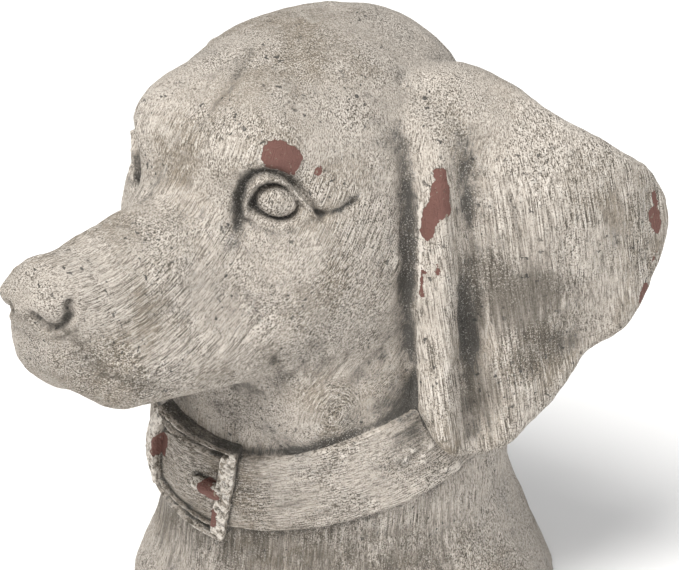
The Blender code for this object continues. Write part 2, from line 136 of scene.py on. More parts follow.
def ear_side(p: Array) -> Array:
    """Return the same places folded over to the left ear. The right ear sits a little lower."""
    side = mirrored_left(p)
    side[p[:, 0] < 0] += RIGHT_EAR_SET
    return side


class Seen(Enum):
    """How a line worked into one side shows on the other."""

    AS_PLACED = "as placed"
    MIRRORED = "mirrored"
    BY_EAR = "set with the ear"


def views_of(p: Array) -> dict[Seen, Array]:
    """Return places as they are and folded over to the left in both ways."""
    return {Seen.AS_PLACED: p, Seen.MIRRORED: mirrored_left(p), Seen.BY_EAR: ear_side(p)}


def chain(p: Array, places: Sequence[Place], reach: float = FAR_OFF) -> Array:
    """Return the least distance to a line of places, or reach where it is further off.

    Args:
        p: Places to measure from, in two or three dimensions.
        places: The line's own places.
        reach: The largest distance that matters.

    Returns:
        One distance for each place.
    """
    line = np.array(places, float)
    best = np.full(len(p), reach)
    low, high = line.min(axis=0) - reach, line.max(axis=0) + reach
    near = np.where(np.all((p > low) & (p < high), axis=1))[0]
    q = p[near]
    least = best[near]
    for start, end in zip(line[:-1], line[1:]):
        axis = end - start
        along = np.clip((q - start) @ axis / (axis @ axis), 0.0, 1.0)
        least = np.minimum(least, np.linalg.norm(q - start - along[:, None] * axis, axis=1))
    best[near] = least
    return best


def lattice_noise(p: Array, size: float, seed: int) -> Array:
    """Return smooth noise between -1 and 1 with lumps of about the given size.

    Args:
        p: Places in parts.
        size: Size of the lumps, in parts.
        seed: Chooses one pattern among many.

    Returns:
        One value for each place.
    """
    q = p / size + 1000.0 + 17.3 * seed
    cell = np.floor(q).astype(np.int64)
    share = q - cell
    share = share * share * (3.0 - 2.0 * share)
    total = np.zeros(len(p))
    for corner in range(8):
        step = np.array([corner >> axis & 1 for axis in range(3)])
        node = cell + step
        mixed = node[:, 0] * 73856093 ^ node[:, 1] * 19349663 ^ node[:, 2] * 83492791
        mixed = mixed ^ seed * 2654435
        mixed = (mixed ^ (mixed >> 13)) * 1274126177 & 0xFFFFFFFF
        value = (mixed ^ (mixed >> 16)) % 100003 / 50001.0 - 1.0
        weight = np.prod(np.where(step == 1, share, 1.0 - share), axis=1)
        total += weight * value
    return total


def lumpy(p: Array, *layers: tuple[float, float, int]) -> Array:
    """Return noise summed over layers, each with its height, size of lumps and pattern."""
    return sum(height * lattice_noise(p, size, seed) for height, size, seed in layers)


@dataclass(frozen=True)
class Egg:
    """A rounded mass with a radius along each axis."""

    centre: Place
    radii: Place

    def distance(self, p: Array) -> Array:
        """Return the distance to the mass, negative inside it."""
        q = p - np.array(self.centre)
        radii = np.array(self.radii, float)
        far = np.linalg.norm(q / radii, axis=1)
        steep = np.linalg.norm(q / (radii * radii), axis=1)
        return far * (far - 1.0) / np.maximum(steep, 1e-9)


@dataclass(frozen=True)
class Limb:
    """A tapered mass between two places, narrowed across X by squeeze."""

    start: Place
    end: Place
    start_radius: float
    end_radius: float
    squeeze: float = 1.0

    def distance(self, p: Array) -> Array:
        """Return the distance to the mass, negative inside it."""
        start, end = np.array(self.start, float), np.array(self.end, float)
        q = p.copy()
        q[:, 0] = start[0] + (q[:, 0] - start[0]) / self.squeeze
        axis = end - start
        along = np.clip((q - start) @ axis / (axis @ axis), 0.0, 1.0)
        radius = self.start_radius + (self.end_radius - self.start_radius) * along
        return np.linalg.norm(q - start - along[:, None] * axis, axis=1) - radius


def eggs(centre: Place, radii: Place) -> tuple[Egg, ...]:
    """Return an egg on the puppy's left and its twin on the right."""
    return tuple(Egg((side * centre[0], *centre[1:]), radii) for side in (1, -1))


def limbs(start: Place, end: Place, start_radius: float, end_radius: float) -> tuple[Limb, ...]:
    """Return a limb on the puppy's left and its twin on the right."""
    ends = ([(side * place[0], *place[1:]) for place in (start, end)] for side in (1, -1))
    return tuple(Limb(first, last, start_radius, end_radius) for first, last in ends)


def gather(p: Array, masses: Sequence[Egg | Limb], width: float) -> Array:
    """Return the distance to all the masses run into each other."""
    joined = masses[0].distance(p)
    for mass in masses[1:]:
        joined = blend(joined, mass.distance(p), width)
    return joined


@dataclass
class Head:
    """Skull, cheeks, muzzle, jaw and nose, without the eyes."""

    skull: tuple = (Egg((0, 44.5, -6), (43, 55, 44.5)), *eggs((16, 7.5, 8), (11.5, 13.5, 15)))
    cheeks: tuple = eggs((26.5, 28, -28), (17.5, 33, 27))
    muzzle: tuple = (
        Limb((0, -6, -30), (0, -54, -29), 22, 18, 0.9),
        *limbs((7, -4, -18), (5, -60, -22), 12, 9),
        *limbs((19, -1, -46), (12.5, -49, -43), 14, 12.5),
    )
    nose: tuple = (
        Egg((0, -66.5, -17.5), (13.5, 11.5, 10)), *eggs((6.5, -59.5, -33.5), (9, 11, 12.5)),
    )
    jaw: Limb = Limb((0, 5, -44), (0, -48, -45), 16, 8)
    jowls: tuple = eggs((25.5, 13, -68), (12, 13, 12.5))

    def distance(self, p: Array) -> Array:
        """Return the distance to the head."""
        head = gather(p, self.skull, 16.0)
        for cheek in self.cheeks:
            head = blend(head, cheek.distance(p), 18.0)
        face = blend(gather(p, self.muzzle, 12.0), self.jaw.distance(p), 4.0)
        face = blend(face, gather(p, self.nose, 5.0), 6.0)
        head = blend(head, face, 13.0)
        for jowl in self.jowls:
            head = blend(head, jowl.distance(p), 8.0)
        return head


@dataclass
class Neck:
    """Throat, nape, neck and the start of the chest."""

    masses: tuple = (
        Limb((0, 48, -40), (0, 56, -100), 45, 51.5),
        Limb((0, 20, -40), (0, 48, -92), 26, 35.5),
        Limb((0, 30, -84), (0, 36, -128), 30, 29),
        Limb((0, 71, -3), (0, 74, -60), 33, 40),
    )
    chest: Limb = Limb((0, 60.5, -116), (0, 62, -172), 52, 74.5)

    def distance(self, p: Array) -> Array:
        """Return the distance to the neck."""
        return blend(gather(p, self.masses, 18.0), self.chest.distance(p), 16.0)


@dataclass
class Ears:
    """Both hanging ears with their roots. The flap lies in a slanting plane of its own."""

    top: Array = field(default_factory=lambda: at(41, 44, 23.3))
    rear: Array = field(default_factory=lambda: at(90, 109.2, -18.9))
    tip: Array = field(default_factory=lambda: at(62, 47.9, -90.8))
    thickness: float = 9.0
    outline: tuple = (
        (1, 5), (7, 0), (18, -1), (33, 3.5), (51, 13), (68, 24), (80, 34.5), (85, 46),
        (82.8, 58.6), (77, 69.8), (67.9, 80.7), (57, 87.7), (47.7, 96.9), (38.9, 104.9),
        (30.5, 112.3), (20, 116.5), (11, 114.5), (5, 108.5), (1, 99), (0, 84), (0, 45),
    )
    outline_steps: int = 3
    root: Limb = Limb((20, 62, -1), (40, 68, 5), 25, 14)
    backing: Limb = Limb((38, 55, 6), (52, 55, -86), 12, 9)

    def __post_init__(self) -> None:
        """Work out the flap's own axes and its smooth outline."""
        out = np.cross(self.tip - self.top, self.rear - self.top)
        self.out = out / np.linalg.norm(out)
        across = np.cross((0.0, 0.0, 1.0), self.out)
        self.across = across / np.linalg.norm(across)
        self.down = np.cross(self.across, self.out)
        self.curve = self.closed_curve()

    def closed_curve(self) -> Array:
        """Return a smooth closed curve through the outline's points."""
        knots = np.array(self.outline, float)
        before, after, beyond = np.roll(knots, 1, 0), np.roll(knots, -1, 0), np.roll(knots, -2, 0)
        curve = []
        for step in range(self.outline_steps):
            t = step / self.outline_steps
            bend = 2 * before - 5 * knots + 4 * after - beyond
            value = 2 * knots + (after - before) * t + bend * t * t
            curve.append(0.5 * (value + (3 * knots - before - 3 * after + beyond) * t**3))
        return np.stack(curve, 1).reshape(-1, 2)

    def flat_place(self, side: Array) -> tuple[Array, Array, Array]:
        """Return places across, down and out of the flap's plane."""
        q = side - self.top
        return q @ self.across, q @ self.down, q @ self.out

    def edge(self, across: Array, down: Array) -> Array:
        """Return the distance to the flap's outline, negative inside it."""
        q = np.stack([across, down], 1)
        best = np.full(len(q), 1e9)
        sign = np.ones(len(q))
        for start, end in zip(self.curve, np.roll(self.curve, -1, axis=0)):
            side = end - start
            w = q - start
            along = np.clip(w @ side / (side @ side), 0.0, 1.0)
            best = np.minimum(best, np.linalg.norm(w - along[:, None] * side, axis=1))
            above, below = q[:, 1] >= start[1], q[:, 1] < end[1]
            turn = side[0] * w[:, 1] > side[1] * w[:, 0]
            crossed = (above & below & turn) | (~above & ~below & ~turn)
            sign = np.where(crossed, -sign, sign)
        return best * sign

    def relief(self, across: Array, down: Array) -> Array:
        """Return how far the middle of the flap stands out of its plane."""
        hangs = rise(down, 12, 14)
        front_roll = 4.5 * hangs * hump(across, 8.5, 5.5)
        front_turn = -5.0 * np.exp(-np.maximum(across + 1, 0) / 3.0)
        trough_line = 17.0 + 2.0 * hump(down, 52, 25)
        depth = 3.5 + 2.5 * hump(down, 78, 24) + 2.0 * hump(down, 28, 14)
        trough = -depth * hangs * hump(across - trough_line, 0.0, 6.5)
        belly = 7.0 * hump(across, 44, 19) * hump(down, 38, 30)
        hollow = -6.0 * hump(across, 54, 11) * hump(down, 84, 11)
        ridge = 2.5 * hump(across, 30, 7) * hump(down, 92, 18)
        rear_turn = -8.0 * rise(across, 75, 14)
        top_turn = -19.0 * rise(-down, -13, 24) * (1 - 0.9 * rise(across, 54, 34))
        return front_roll + front_turn + trough + belly + hollow + ridge + rear_turn + top_turn

    def distance(self, p: Array) -> Array:
        """Return the distance to the ears."""
        side = ear_side(p)
        near = np.all((side > at(4, 20, -118)) & (side < at(128, 138, 62)), axis=1)
        side = side[near]
        shape = np.full(len(p), FAR_OFF)
        across, down, out = self.flat_place(side)
        half = self.thickness / 2
        rounding = 0.9 * half
        over_edge = self.edge(across, down) + rounding
        over_face = np.abs(out - self.relief(across, down)) - half + rounding
        outside = np.hypot(np.maximum(over_edge, 0.0), np.maximum(over_face, 0.0))
        flap = outside + np.minimum(np.maximum(over_edge, over_face), 0.0) - rounding
        rooted = blend(flap, self.root.distance(side), 20.0)
        shape[near] = blend(rooted, self.backing.distance(side), 3.0)
        return shape


@dataclass(frozen=True)
class Score:
    """A line worked into the surface: positive depth cuts in, negative raises it."""

    line: tuple
    width: float
    depth: float
    seen: Seen = Seen.MIRRORED

    def amount(self, views: dict[Seen, Array]) -> Array:
        """Return how deep the line goes at each place."""
        reach = 3.0 * self.width
        away = chain(views[self.seen], self.line, reach)
        return np.where(away < reach, self.depth * np.exp(-(away / self.width) ** 2), 0.0)


EAR_GROOVE = ((39, 43, 21), (42, 42, 14), (45, 41, 4), (47, 39, -9), (48, 38, -40), (49, 38, -72))
NOSTRIL = ((5, -77.5, -19.5), (8.5, -75.5, -23), (12, -72.5, -22), (13.5, -70, -17))
NOSTRIL_RIM = (
    (5.0, -77.2, -19.2), (5.7, -76.6, -20.4), (7.3, -75.5, -22.4), (9.6, -74, -23.3),
    (11.4, -72, -22.6), (12.9, -70.3, -19.2), (13.2, -70, -15.5),
)
PHILTRUM = ((0, -79, -21), (0, -77, -30), (0, -73, -40), (0, -66, -48))
LIP_CREASE = ((13, -71, -25), (15, -68, -31), (18.5, -63, -39), (25, -52, -45))


@dataclass
class Eye:
    """An eye carved into the side of the brow, in its own axes: along the lids, up, and out."""

    place: Array = field(default_factory=lambda: at(28.5, 0.8, -0.1))
    turn: float = math.radians(43)
    ball: tuple = (0.5, -1.0)
    ball_radii: tuple = (6.3, 4.7)
    ball_height: float = 3.1
    fold: tuple = (
        (-11.4, -8.0), (-11.8, -1), (-10.2, 4.8), (-7, 8.2), (-3, 9.0), (0.9, 7.9),
        (4.2, 5.8), (6.9, 3.2), (9.4, -0.2), (11.8, -3.6), (14.0, -6.0),
    )
    lid: tuple = (
        (-9.4, -5.2), (-9.3, -2.0), (-8.3, 1.8), (-6, 5), (-2.5, 6.5), (0.9, 5.8),
        (3.9, 3.8), (6.6, 1.0), (9, -2.2), (11.4, -5.2),
    )
    rim: tuple = (
        (-7.2, -1.8), (-6.4, 0.8), (-5.0, 2.7), (-2.6, 3.9), (0.3, 4.1), (3, 3.0), (5.5, 0.6),
        (7.2, -2.4), (6.0, -4.3), (4.0, -5.6), (0.7, -6.1), (-2.8, -5.6), (-5.8, -4.0), (-7.2, -1.8),
    )
    lower_lid: tuple = ((-8.0, -5.0), (-4.0, -7.4), (0.8, -8.1), (5.0, -7.4), (8.6, -5.4))
    tail: tuple = ((11.4, -4.6), (15.0, -5.0), (20.0, -3.8), (24.5, -1.6))
    under_lid: tuple = ((-9.5, -6.0), (-6.0, -8.6), (0.0, -10.0), (5.0, -9.5))
    reach: float = 26.0
    depth: float = 14.0

    def __post_init__(self) -> None:
        """Work out the eye's own axes."""
        along = at(math.cos(self.turn), math.sin(self.turn), 0)
        out = at(math.sin(self.turn), -math.cos(self.turn), 0.12)
        out = out / np.linalg.norm(out)
        self.axes = np.stack([along, np.cross(out, along), out], 1)

    def nearby(self, side: Array) -> tuple[Array, Array]:
        """Return which places lie near the eye, and where those lie along the lids and up."""
        local = (side - self.place) @ self.axes
        near = (np.hypot(local[:, 0], local[:, 1]) < self.reach) & (local[:, 2] > -self.depth)
        return near, local[near][:, :2]

    def wash_and_painted_shade(self, side: Array) -> Array:
        """Return how much painted shade, laid in the dark wash colour, lies in the creases around the
        eye.
        """
        amount = np.zeros(len(side))
        near, q = self.nearby(side)
        a, u = q.T
        spread = 0.9 + 1.6 * hump(a, -12.0, 6.0)
        fold = (0.45 + 0.45 * hump(a, -11.0, 8.0)) * np.exp(-((chain(q, self.fold) / spread) ** 2))
        rim = (0.35 + 0.35 * hump(a, -6.0, 5.0)) * hump(chain(q, self.rim), 0.0, 0.55)
        corner = 1.3 * hump(np.hypot(a + 7.2, (u + 1.4) / 2.2), 0.0, 1.1)
        tail = 0.4 * hump(chain(q, self.tail), 0.0, 0.7)
        below = 0.45 * hump(chain(q, self.under_lid), 0.0, 1.2)
        amount[near] = fold + rim + corner + tail + below
        return amount

    def relief(self, side: Array) -> Array:
        """Return the height of the carving above the plain brow, in parts.

        Args:
            side: Places folded over to the puppy's left.

        Returns:
            One height for each place, negative where it cuts in.
        """
        height = np.zeros(len(side))
        near, q = self.nearby(side)
        a, u = q.T
        socket = -2.6 * np.exp(-((a / 9.6) ** 4) - ((u + 0.8) / 8.0) ** 4)
        off = (q - self.ball) / self.ball_radii
        ball = self.ball_height * np.sqrt(np.maximum(1 - off[:, 0] ** 2 - off[:, 1] ** 2, 0.0))
        fold = -2.6 * hump(chain(q, self.fold), 0.0, 1.25)
        fold -= 0.9 * hump(np.hypot(a + 11.5, u + 5.0), 0.0, 5.0)
        lid = 2.2 * hump(chain(q, self.lid), 0.0, 1.0)
        rim = -1.7 * hump(chain(q, self.rim), 0.0, 0.75)
        corner = -1.2 * hump(np.hypot(a + 7.4, u + 1.6), 0.0, 1.3)
        below = 1.2 * hump(chain(q, self.lower_lid), 0.0, 1.6)
        brow = 0.9 * hump(np.hypot((a - 1.0) / 1.6, u - 13.0), 0.0, 5.0)
        height[near] = socket + ball + fold + lid + rim + corner + below + brow
        return height


@dataclass
class Figure:
    """The whole figure without its collar."""

    head: Head = field(default_factory=Head)
    neck: Neck = field(default_factory=Neck)
    ears: Ears = field(default_factory=Ears)
    eye: Eye = field(default_factory=Eye)
    scores: tuple = (
        Score(EAR_GROOVE, 2.4, 4.5, Seen.BY_EAR),
        Score(NOSTRIL, 1.7, 2.6),
        Score(PHILTRUM, 1.3, 1.3, Seen.AS_PLACED),
        Score(LIP_CREASE, 2.2, 1.2),
    )
    carving: tuple = (
        Score(NOSTRIL_RIM, 1.15, 3.2),
        Score(((7, -77, -15.5), (10.5, -75, -16.5)), 2.6, -1.5),
        Score(((6, -76, -25.5), (11, -73, -25.5)), 1.8, -0.6),
        Score(((0, -80, -17), (3, -79, -19), (5, -77.5, -19.5)), 0.8, 0.7),
        Score(((13.5, -70, -17), (14, -67.5, -12), (12, -66, -8)), 1.6, 0.8),
        Score(((38, 9, -5), (40, 13, -5.4), (41, 16, -5), (42, 21, -3)), 1.1, 1.2),
        Score(((22, -8, -6), (22, -10, -9), (23, -11, -13)), 4.0, 1.1),
        Score(((32, -4, -50), (33, -3, -53)), 2.6, 1.6),
        Score(((26, -30, -52), (28, -14, -56), (30, -5, -56)), 1.4, -0.9),
        Score(((41, 24, -64), (43, 27, -61), (45, 31, -58)), 3.4, 1.4),
        Score(((24, 16, 25), (10, 0, 22)), 6.0, 0.7),
        Score(((2, -3, 18), (4, 4, 27)), 2.2, 0.5),
        Score(((4, 40, 38.5), (-4, 47, 38.5)), 2.0, -0.5, Seen.AS_PLACED),
        Score(((54, 50, -32), (56, 52, -42), (58, 54, -56)), 3.0, 1.6),
        Score(((67, 72, 14), (79, 92, 2), (86, 103, -14)), 0.8, 0.35),
    )

    def distance(self, p: Array) -> Array:
        """Return the distance to the plain form, cut off flat at the ground."""
        views = views_of(p)
        body = blend(self.head.distance(p), self.neck.distance(p), 12.0)
        shape = blend(body, self.ears.distance(p), 3.0)
        for score in self.scores:
            shape = shape + score.amount(views)
        return np.maximum(shape, GROUND - p[:, 2])

    def relief(self, p: Array) -> Array:
        """Return the height of the finer carving above the plain form, in parts."""
        views = views_of(p)
        height = self.eye.relief(views[Seen.MIRRORED])
        for score in self.carving:
            height -= score.amount(views)
        return height


ROUNDED = {"segments": 3, "limit_method": "ANGLE", "angle_limit": math.radians(50)}
CORNERS = np.array(((1, 1, 1), (1, -1, -1), (-1, 1, -1), (-1, -1, 1)), float)


def slope(places: Array, shape: Field) -> tuple[Array, Array]:
    """Return the distance to a shape and the direction away from it, at each place."""
    step = 0.05
    around = [shape(places + step * corner) for corner in CORNERS]
    away = sum(value[:, None] * corner for value, corner in zip(around, CORNERS)) / (4 * step)
    return sum(around) / 4, away


def settle(places: Array, shape: Field, rounds: int, limit: float = 3.0) -> Array:
    """Move places onto a shape's surface.

    Args:
        places: Places in parts.
        shape: Gives the distance to the surface.
        rounds: How many times they are moved.
        limit: The longest single move.

    Returns:
        The moved places.
    """
    for _ in range(rounds):
        value, away = slope(places, shape)
        length = np.maximum(np.linalg.norm(away, axis=1), 0.6)
        move = value[:, None] * away / (length * length)[:, None]
        reach = np.linalg.norm(move, axis=1, keepdims=True)
        places = places - move * np.minimum(1.0, limit / np.maximum(reach, 1e-9))
    return places


def vertices_of(mesh: bpy.types.Mesh) -> Array:
    """Return the places of a mesh's vertices."""
    flat = np.empty(len(mesh.vertices) * 3)
    mesh.vertices.foreach_get("co", flat)
    return flat.reshape(-1, 3)


def set_vertices(mesh: bpy.types.Mesh, places: Array) -> None:
    """Give a mesh's vertices new places."""
    mesh.vertices.foreach_set("co", np.ascontiguousarray(places, float).ravel())
    mesh.update()


def places_of(piece: Piece) -> Array:
    """Return the places of a piece's vertices, in parts."""
    return to_parts(vertices_of(piece.data))


def move_to(piece: Piece, places: Array) -> None:
    """Move a piece's vertices to places in parts."""
    set_vertices(piece.data, to_world(places))


def edges_of(mesh: bpy.types.Mesh) -> Array:
    """Return the two vertices of each edge."""
    flat = np.empty(len(mesh.edges) * 2, np.int32)
    mesh.edges.foreach_get("vertices", flat)
    return flat.reshape(-1, 2)


def normals_of(mesh: bpy.types.Mesh) -> Array:
    """Return the outward normal at each vertex."""
    flat = np.empty(len(mesh.vertices) * 3, np.float32)
    mesh.vertex_normals.foreach_get("vector", flat)
    return flat.reshape(-1, 3).astype(float)


def neighbour_mean(values: Array, pairs: Array, rounds: int) -> Array:
    """Return values evened out along the mesh's edges."""
    count = len(values)
    degree = np.maximum(np.bincount(pairs.ravel(), minlength=count), 1.0)
    flat = values.reshape(count, -1)
    for _ in range(rounds):
        total = np.empty_like(flat)
        for column in range(flat.shape[1]):
            total[:, column] = np.bincount(pairs[:, 0], flat[pairs[:, 1], column], count)
            total[:, column] += np.bincount(pairs[:, 1], flat[pairs[:, 0], column], count)
        flat = 0.5 * flat + 0.5 * total / degree[:, None]
    return flat.reshape(values.shape)


def alone(piece: Piece) -> None:
    """Make a piece the only selected and the active one."""
    bpy.ops.object.select_all(action="DESELECT")
    piece.select_set(True)
    bpy.context.view_layer.objects.active = piece


def newest(name: str) -> Piece:
    """Return the piece made last, under its name."""
    piece = bpy.context.object
    piece.name = name
    piece.data.name = name
    return piece


def apply_modifier(piece: Piece, kind: str, **settings: object) -> None:
    """Add a modifier with these settings and apply it."""
    alone(piece)
    modifier = piece.modifiers.new(kind.lower(), kind)
    for name, value in settings.items():
        setattr(modifier, name, value)
    bpy.ops.object.modifier_apply(modifier=modifier.name)


def store(mesh: bpy.types.Mesh, name: str, values: Array) -> None:
    """Keep a value or a vector for each vertex as an attribute of the mesh."""
    kind = "FLOAT" if values.ndim == 1 else "FLOAT_VECTOR"
    key = "value" if values.ndim == 1 else "vector"
    attribute = mesh.attributes.new(name, kind, "POINT")
    attribute.data.foreach_set(key, np.ascontiguousarray(values, np.float32).ravel())


@dataclass(frozen=True)
class Chip:
    """A place where the pale coat is gone: a rounded patch along a line, in parts."""

    line: tuple
    radius: float


CHIPS = (
    Chip(((28.2, 1, 13.5), (31.5, 3.5, 12)), 4.6),
    Chip(((31, 2.5, 8.5), (32, 4, 6.5)), 1.9),
    Chip(((27.0, 0.0, 16.5), (27.2, 0.2, 16.4)), 1.2),
    Chip(((35, 12, 7), (35.1, 12.1, 7)), 1.5),
    Chip(((54, 46, 0.5), (56, 45, -4)), 2.6),
    Chip(((55.5, 44.5, -4), (55.5, 44, -9)), 3.6),
    Chip(((54, 43, -9), (52, 41, -17)), 2.8),
    Chip(((55, 44, 5), (55, 44, 4.6)), 0.9),
    Chip(((56, 42, -27), (57, 42, -30)), 1.0),
    Chip(((52, 39, -30), (52, 39, -37)), 1.3),
    Chip(((54, 41, -34), (55, 41, -35)), 0.9),
    Chip(((88, 107, -21), (88.5, 107.5, -26)), 2.1),
    Chip(((87, 108, -16), (87.5, 108, -18)), 1.2),
    Chip(((90.5, 106, -34), (90.5, 104, -39)), 1.0),
    Chip(((90, 101, -44), (89, 99, -47)), 1.7),
    Chip(((72, 68, 0), (72.3, 68.5, -1)), 0.7),
)


@dataclass
class Collar:
    """The neck's own plane for the strap, with places counted around, out and up."""

    neck: Neck
    centre: Array = field(default_factory=lambda: at(0, 54.5, -87))
    pitch: float = math.radians(15.4)
    radius: float = 52.0
    strap_width: float = 25.0
    strap_thickness: float = 3.2
    buckle_turn: float = -0.07
    buckle_lift: float = 3.5
    buckle_tilt: float = math.radians(-13.0)
    buckle_half: tuple = (12.9, 14.4)
    buckle_bow: float = 3.0

    def __post_init__(self) -> None:
        """Work out the strap's own axes."""
        self.up = at(0, -math.sin(self.pitch), math.cos(self.pitch))
        self.ahead = at(0, -math.cos(self.pitch), -math.sin(self.pitch))
        self.left = at(1, 0, 0)

    def lay(self, flat: Array) -> Array:
        """Wrap places laid out flat onto the neck.

        Args:
            flat: Places around, out and up, in parts, with around 0 at the throat.

        Returns:
            Places on the figure, in parts.
        """
        turn = flat[:, 0] / self.radius
        outward = np.cos(turn)[:, None] * self.ahead + np.sin(turn)[:, None] * self.left
        foot = self.centre + flat[:, 2:3] * self.up
        reach = np.full(len(flat), self.radius)
        for _ in range(8):
            reach = reach - (self.neck.distance(foot + reach[:, None] * outward) - flat[:, 1])
        return foot + reach[:, None] * outward

    def unrolled(self, places: Array) -> tuple[Array, Array]:
        """Return how far around and up a place lies in the strap's plane."""
        q = places - self.centre
        around = np.arctan2(q @ self.left, q @ self.ahead) * self.radius
        return around, q @ self.up

    def on_buckle(self, around: Array, up: Array) -> tuple[Array, Array]:
        """Return places across and up in the tilted buckle's own axes."""
        x, z = around - self.buckle_turn * self.radius, up - self.buckle_lift
        turn = self.buckle_tilt
        return x * math.cos(turn) + z * math.sin(turn), z * math.cos(turn) - x * math.sin(turn)

    def off_buckle(self, across: Array, up: Array) -> tuple[Array, Array]:
        """Return how far around and up the neck a place on the tilted buckle lies."""
        turn = self.buckle_tilt
        around = across * math.cos(turn) - up * math.sin(turn) + self.buckle_turn * self.radius
        return around, across * math.sin(turn) + up * math.cos(turn) + self.buckle_lift

    def bowed(self, across: Array, up: Array) -> Array:
        """Return how much the far bar bulges at each place on the buckle, from 0 to 1."""
        bulge = np.maximum(1.0 - (up / self.buckle_half[1]) ** 2, 0.0)
        return bulge * np.clip(-across / self.buckle_half[0], 0.0, 1.0)

    def frame_distance(self, around: Array, up: Array) -> Array:
        """Return the distance to the middle line of the buckle's bar, negative inside the frame."""
        across, height = self.on_buckle(around, up)
        across = across + self.buckle_bow * self.bowed(across, height)
        x, z = np.abs(across) - self.buckle_half[0], np.abs(height) - self.buckle_half[1]
        return np.hypot(np.maximum(x, 0.0), np.maximum(z, 0.0)) + np.minimum(np.maximum(x, z), 0.0)


class Socket(Enum):
    """What a group of shader nodes takes in or gives out."""

    MASK = "NodeSocketFloat"
    VECTOR = "NodeSocketVector"


@dataclass
class Wiring:
    """A helper that adds nodes to a tree and joins them."""

    tree: bpy.types.NodeTree

    def add(self, kind: str, inputs: dict | None = None, **settings: object) -> bpy.types.Node:
        """Add a node.

        Args:
            kind: The node's type name.
            inputs: Values or outputs of other nodes for its inputs, by name or number.
            settings: Its own options.

        Returns:
            The new node.
        """
        node = self.tree.nodes.new(kind)
        for name, value in settings.items():
            setattr(node, name, value)
        for key, value in (inputs or {}).items():
            if isinstance(value, NodeValue):
                self.tree.links.new(value, node.inputs[key])
            else:
                node.inputs[key].default_value = value
        return node

    def math(self, operation: str, a: object, b: object = 0.0, c: object = 0.0) -> NodeValue:
        """Return the result of a sum on one to three values."""
        return self.add("ShaderNodeMath", {0: a, 1: b, 2: c}, operation=operation).outputs[0]

    def step(self, value: object, low: float, high: float) -> NodeValue:
        """Return a soft step of a value, 0 at low and 1 at high."""
        node = self.add("ShaderNodeMapRange", {0: value, 1: low, 2: high, 3: 0.0, 4: 1.0})
        node.interpolation_type = "SMOOTHSTEP"
        return node.outputs[0]

    def mix(self, share: object, a: object, b: object) -> NodeValue:
        """Return colour a passing into colour b by a share."""
        return self.add("ShaderNodeMix", {0: share, 6: a, 7: b}, data_type="RGBA").outputs[2]

    def layer(
        self, tone: object, colour: Place, value: object, low: float, high: float, cover: object
    ) -> NodeValue:
        """Lay a colour over a tone.

        Args:
            tone: The tone below.
            colour: The colour laid over it.
            value: Says where, from none at low to all at high.
            low: The value with none of the colour.
            high: The value with all of it.
            cover: How far it covers there.

        Returns:
            The new tone.
        """
        return self.mix(self.math("MULTIPLY", self.step(value, low, high), cover), tone, colour)

    def ragged(self, value: object, *noises: tuple[object, float]) -> NodeValue:
        """Return a value with noises added, each counted from its middle and with its gain."""
        for noise, gain in noises:
            value = self.math("MULTIPLY_ADD", self.math("SUBTRACT", noise, 0.5), gain, value)
        return value

    def noise(self, vector: object, scale: float, detail: float, rough: float) -> NodeValue:
        """Return smooth noise between 0 and 1."""
        inputs = {"Vector": vector, "Scale": scale, "Detail": detail, "Roughness": rough}
        return self.add("ShaderNodeTexNoise", inputs).outputs["Fac"]


def new_group(name: str, entry: str, exits: Sequence[str]) -> tuple[Wiring, NodeValue]:
    """Start a group of nodes that makes masks of one vector.

    Args:
        name: The group's name.
        entry: The name of its input.
        exits: The names of its outputs.

    Returns:
        A helper for its nodes, and the vector.
    """
    tree = bpy.data.node_groups.new(name, "ShaderNodeTree")
    tree.interface.new_socket(entry, in_out="INPUT", socket_type=Socket.VECTOR.value)
    for way_out in exits:
        tree.interface.new_socket(way_out, in_out="OUTPUT", socket_type=Socket.MASK.value)
    wire = Wiring(tree)
    return wire, wire.add("NodeGroupInput").outputs[entry]


def grain_group() -> bpy.types.NodeTree:
    """Build the group for sandy grain: fine lumps and open pits."""
    wire, place = new_group("sandy_grain", "Place", ("Grain", "Pits"))
    grain = wire.noise(place, 2000.0, 2.0, 0.60)
    spots = wire.noise(place, 620.0, 1.5, 0.5)
    where = wire.noise(place, 90.0, 2.0, 0.6)
    pits = wire.math("MULTIPLY", wire.step(spots, 0.655, 0.70), wire.step(where, 0.42, 0.62))
    wire.add("NodeGroupOutput", {"Grain": grain, "Pits": pits})
    return wire.tree


def brush_group() -> bpy.types.NodeTree:
    """Build the group for fine and broad brush strokes drawn out along one direction."""
    wire, stroke = new_group("brush_strokes", "Stroke", ("Fine", "Broad"))
    fine = wire.noise(stroke, 1.0, 3.0, 0.62)
    broad = wire.noise(stroke, 0.22, 2.0, 0.5)
    wire.add("NodeGroupOutput", {"Fine": fine, "Broad": broad})
    return wire.tree


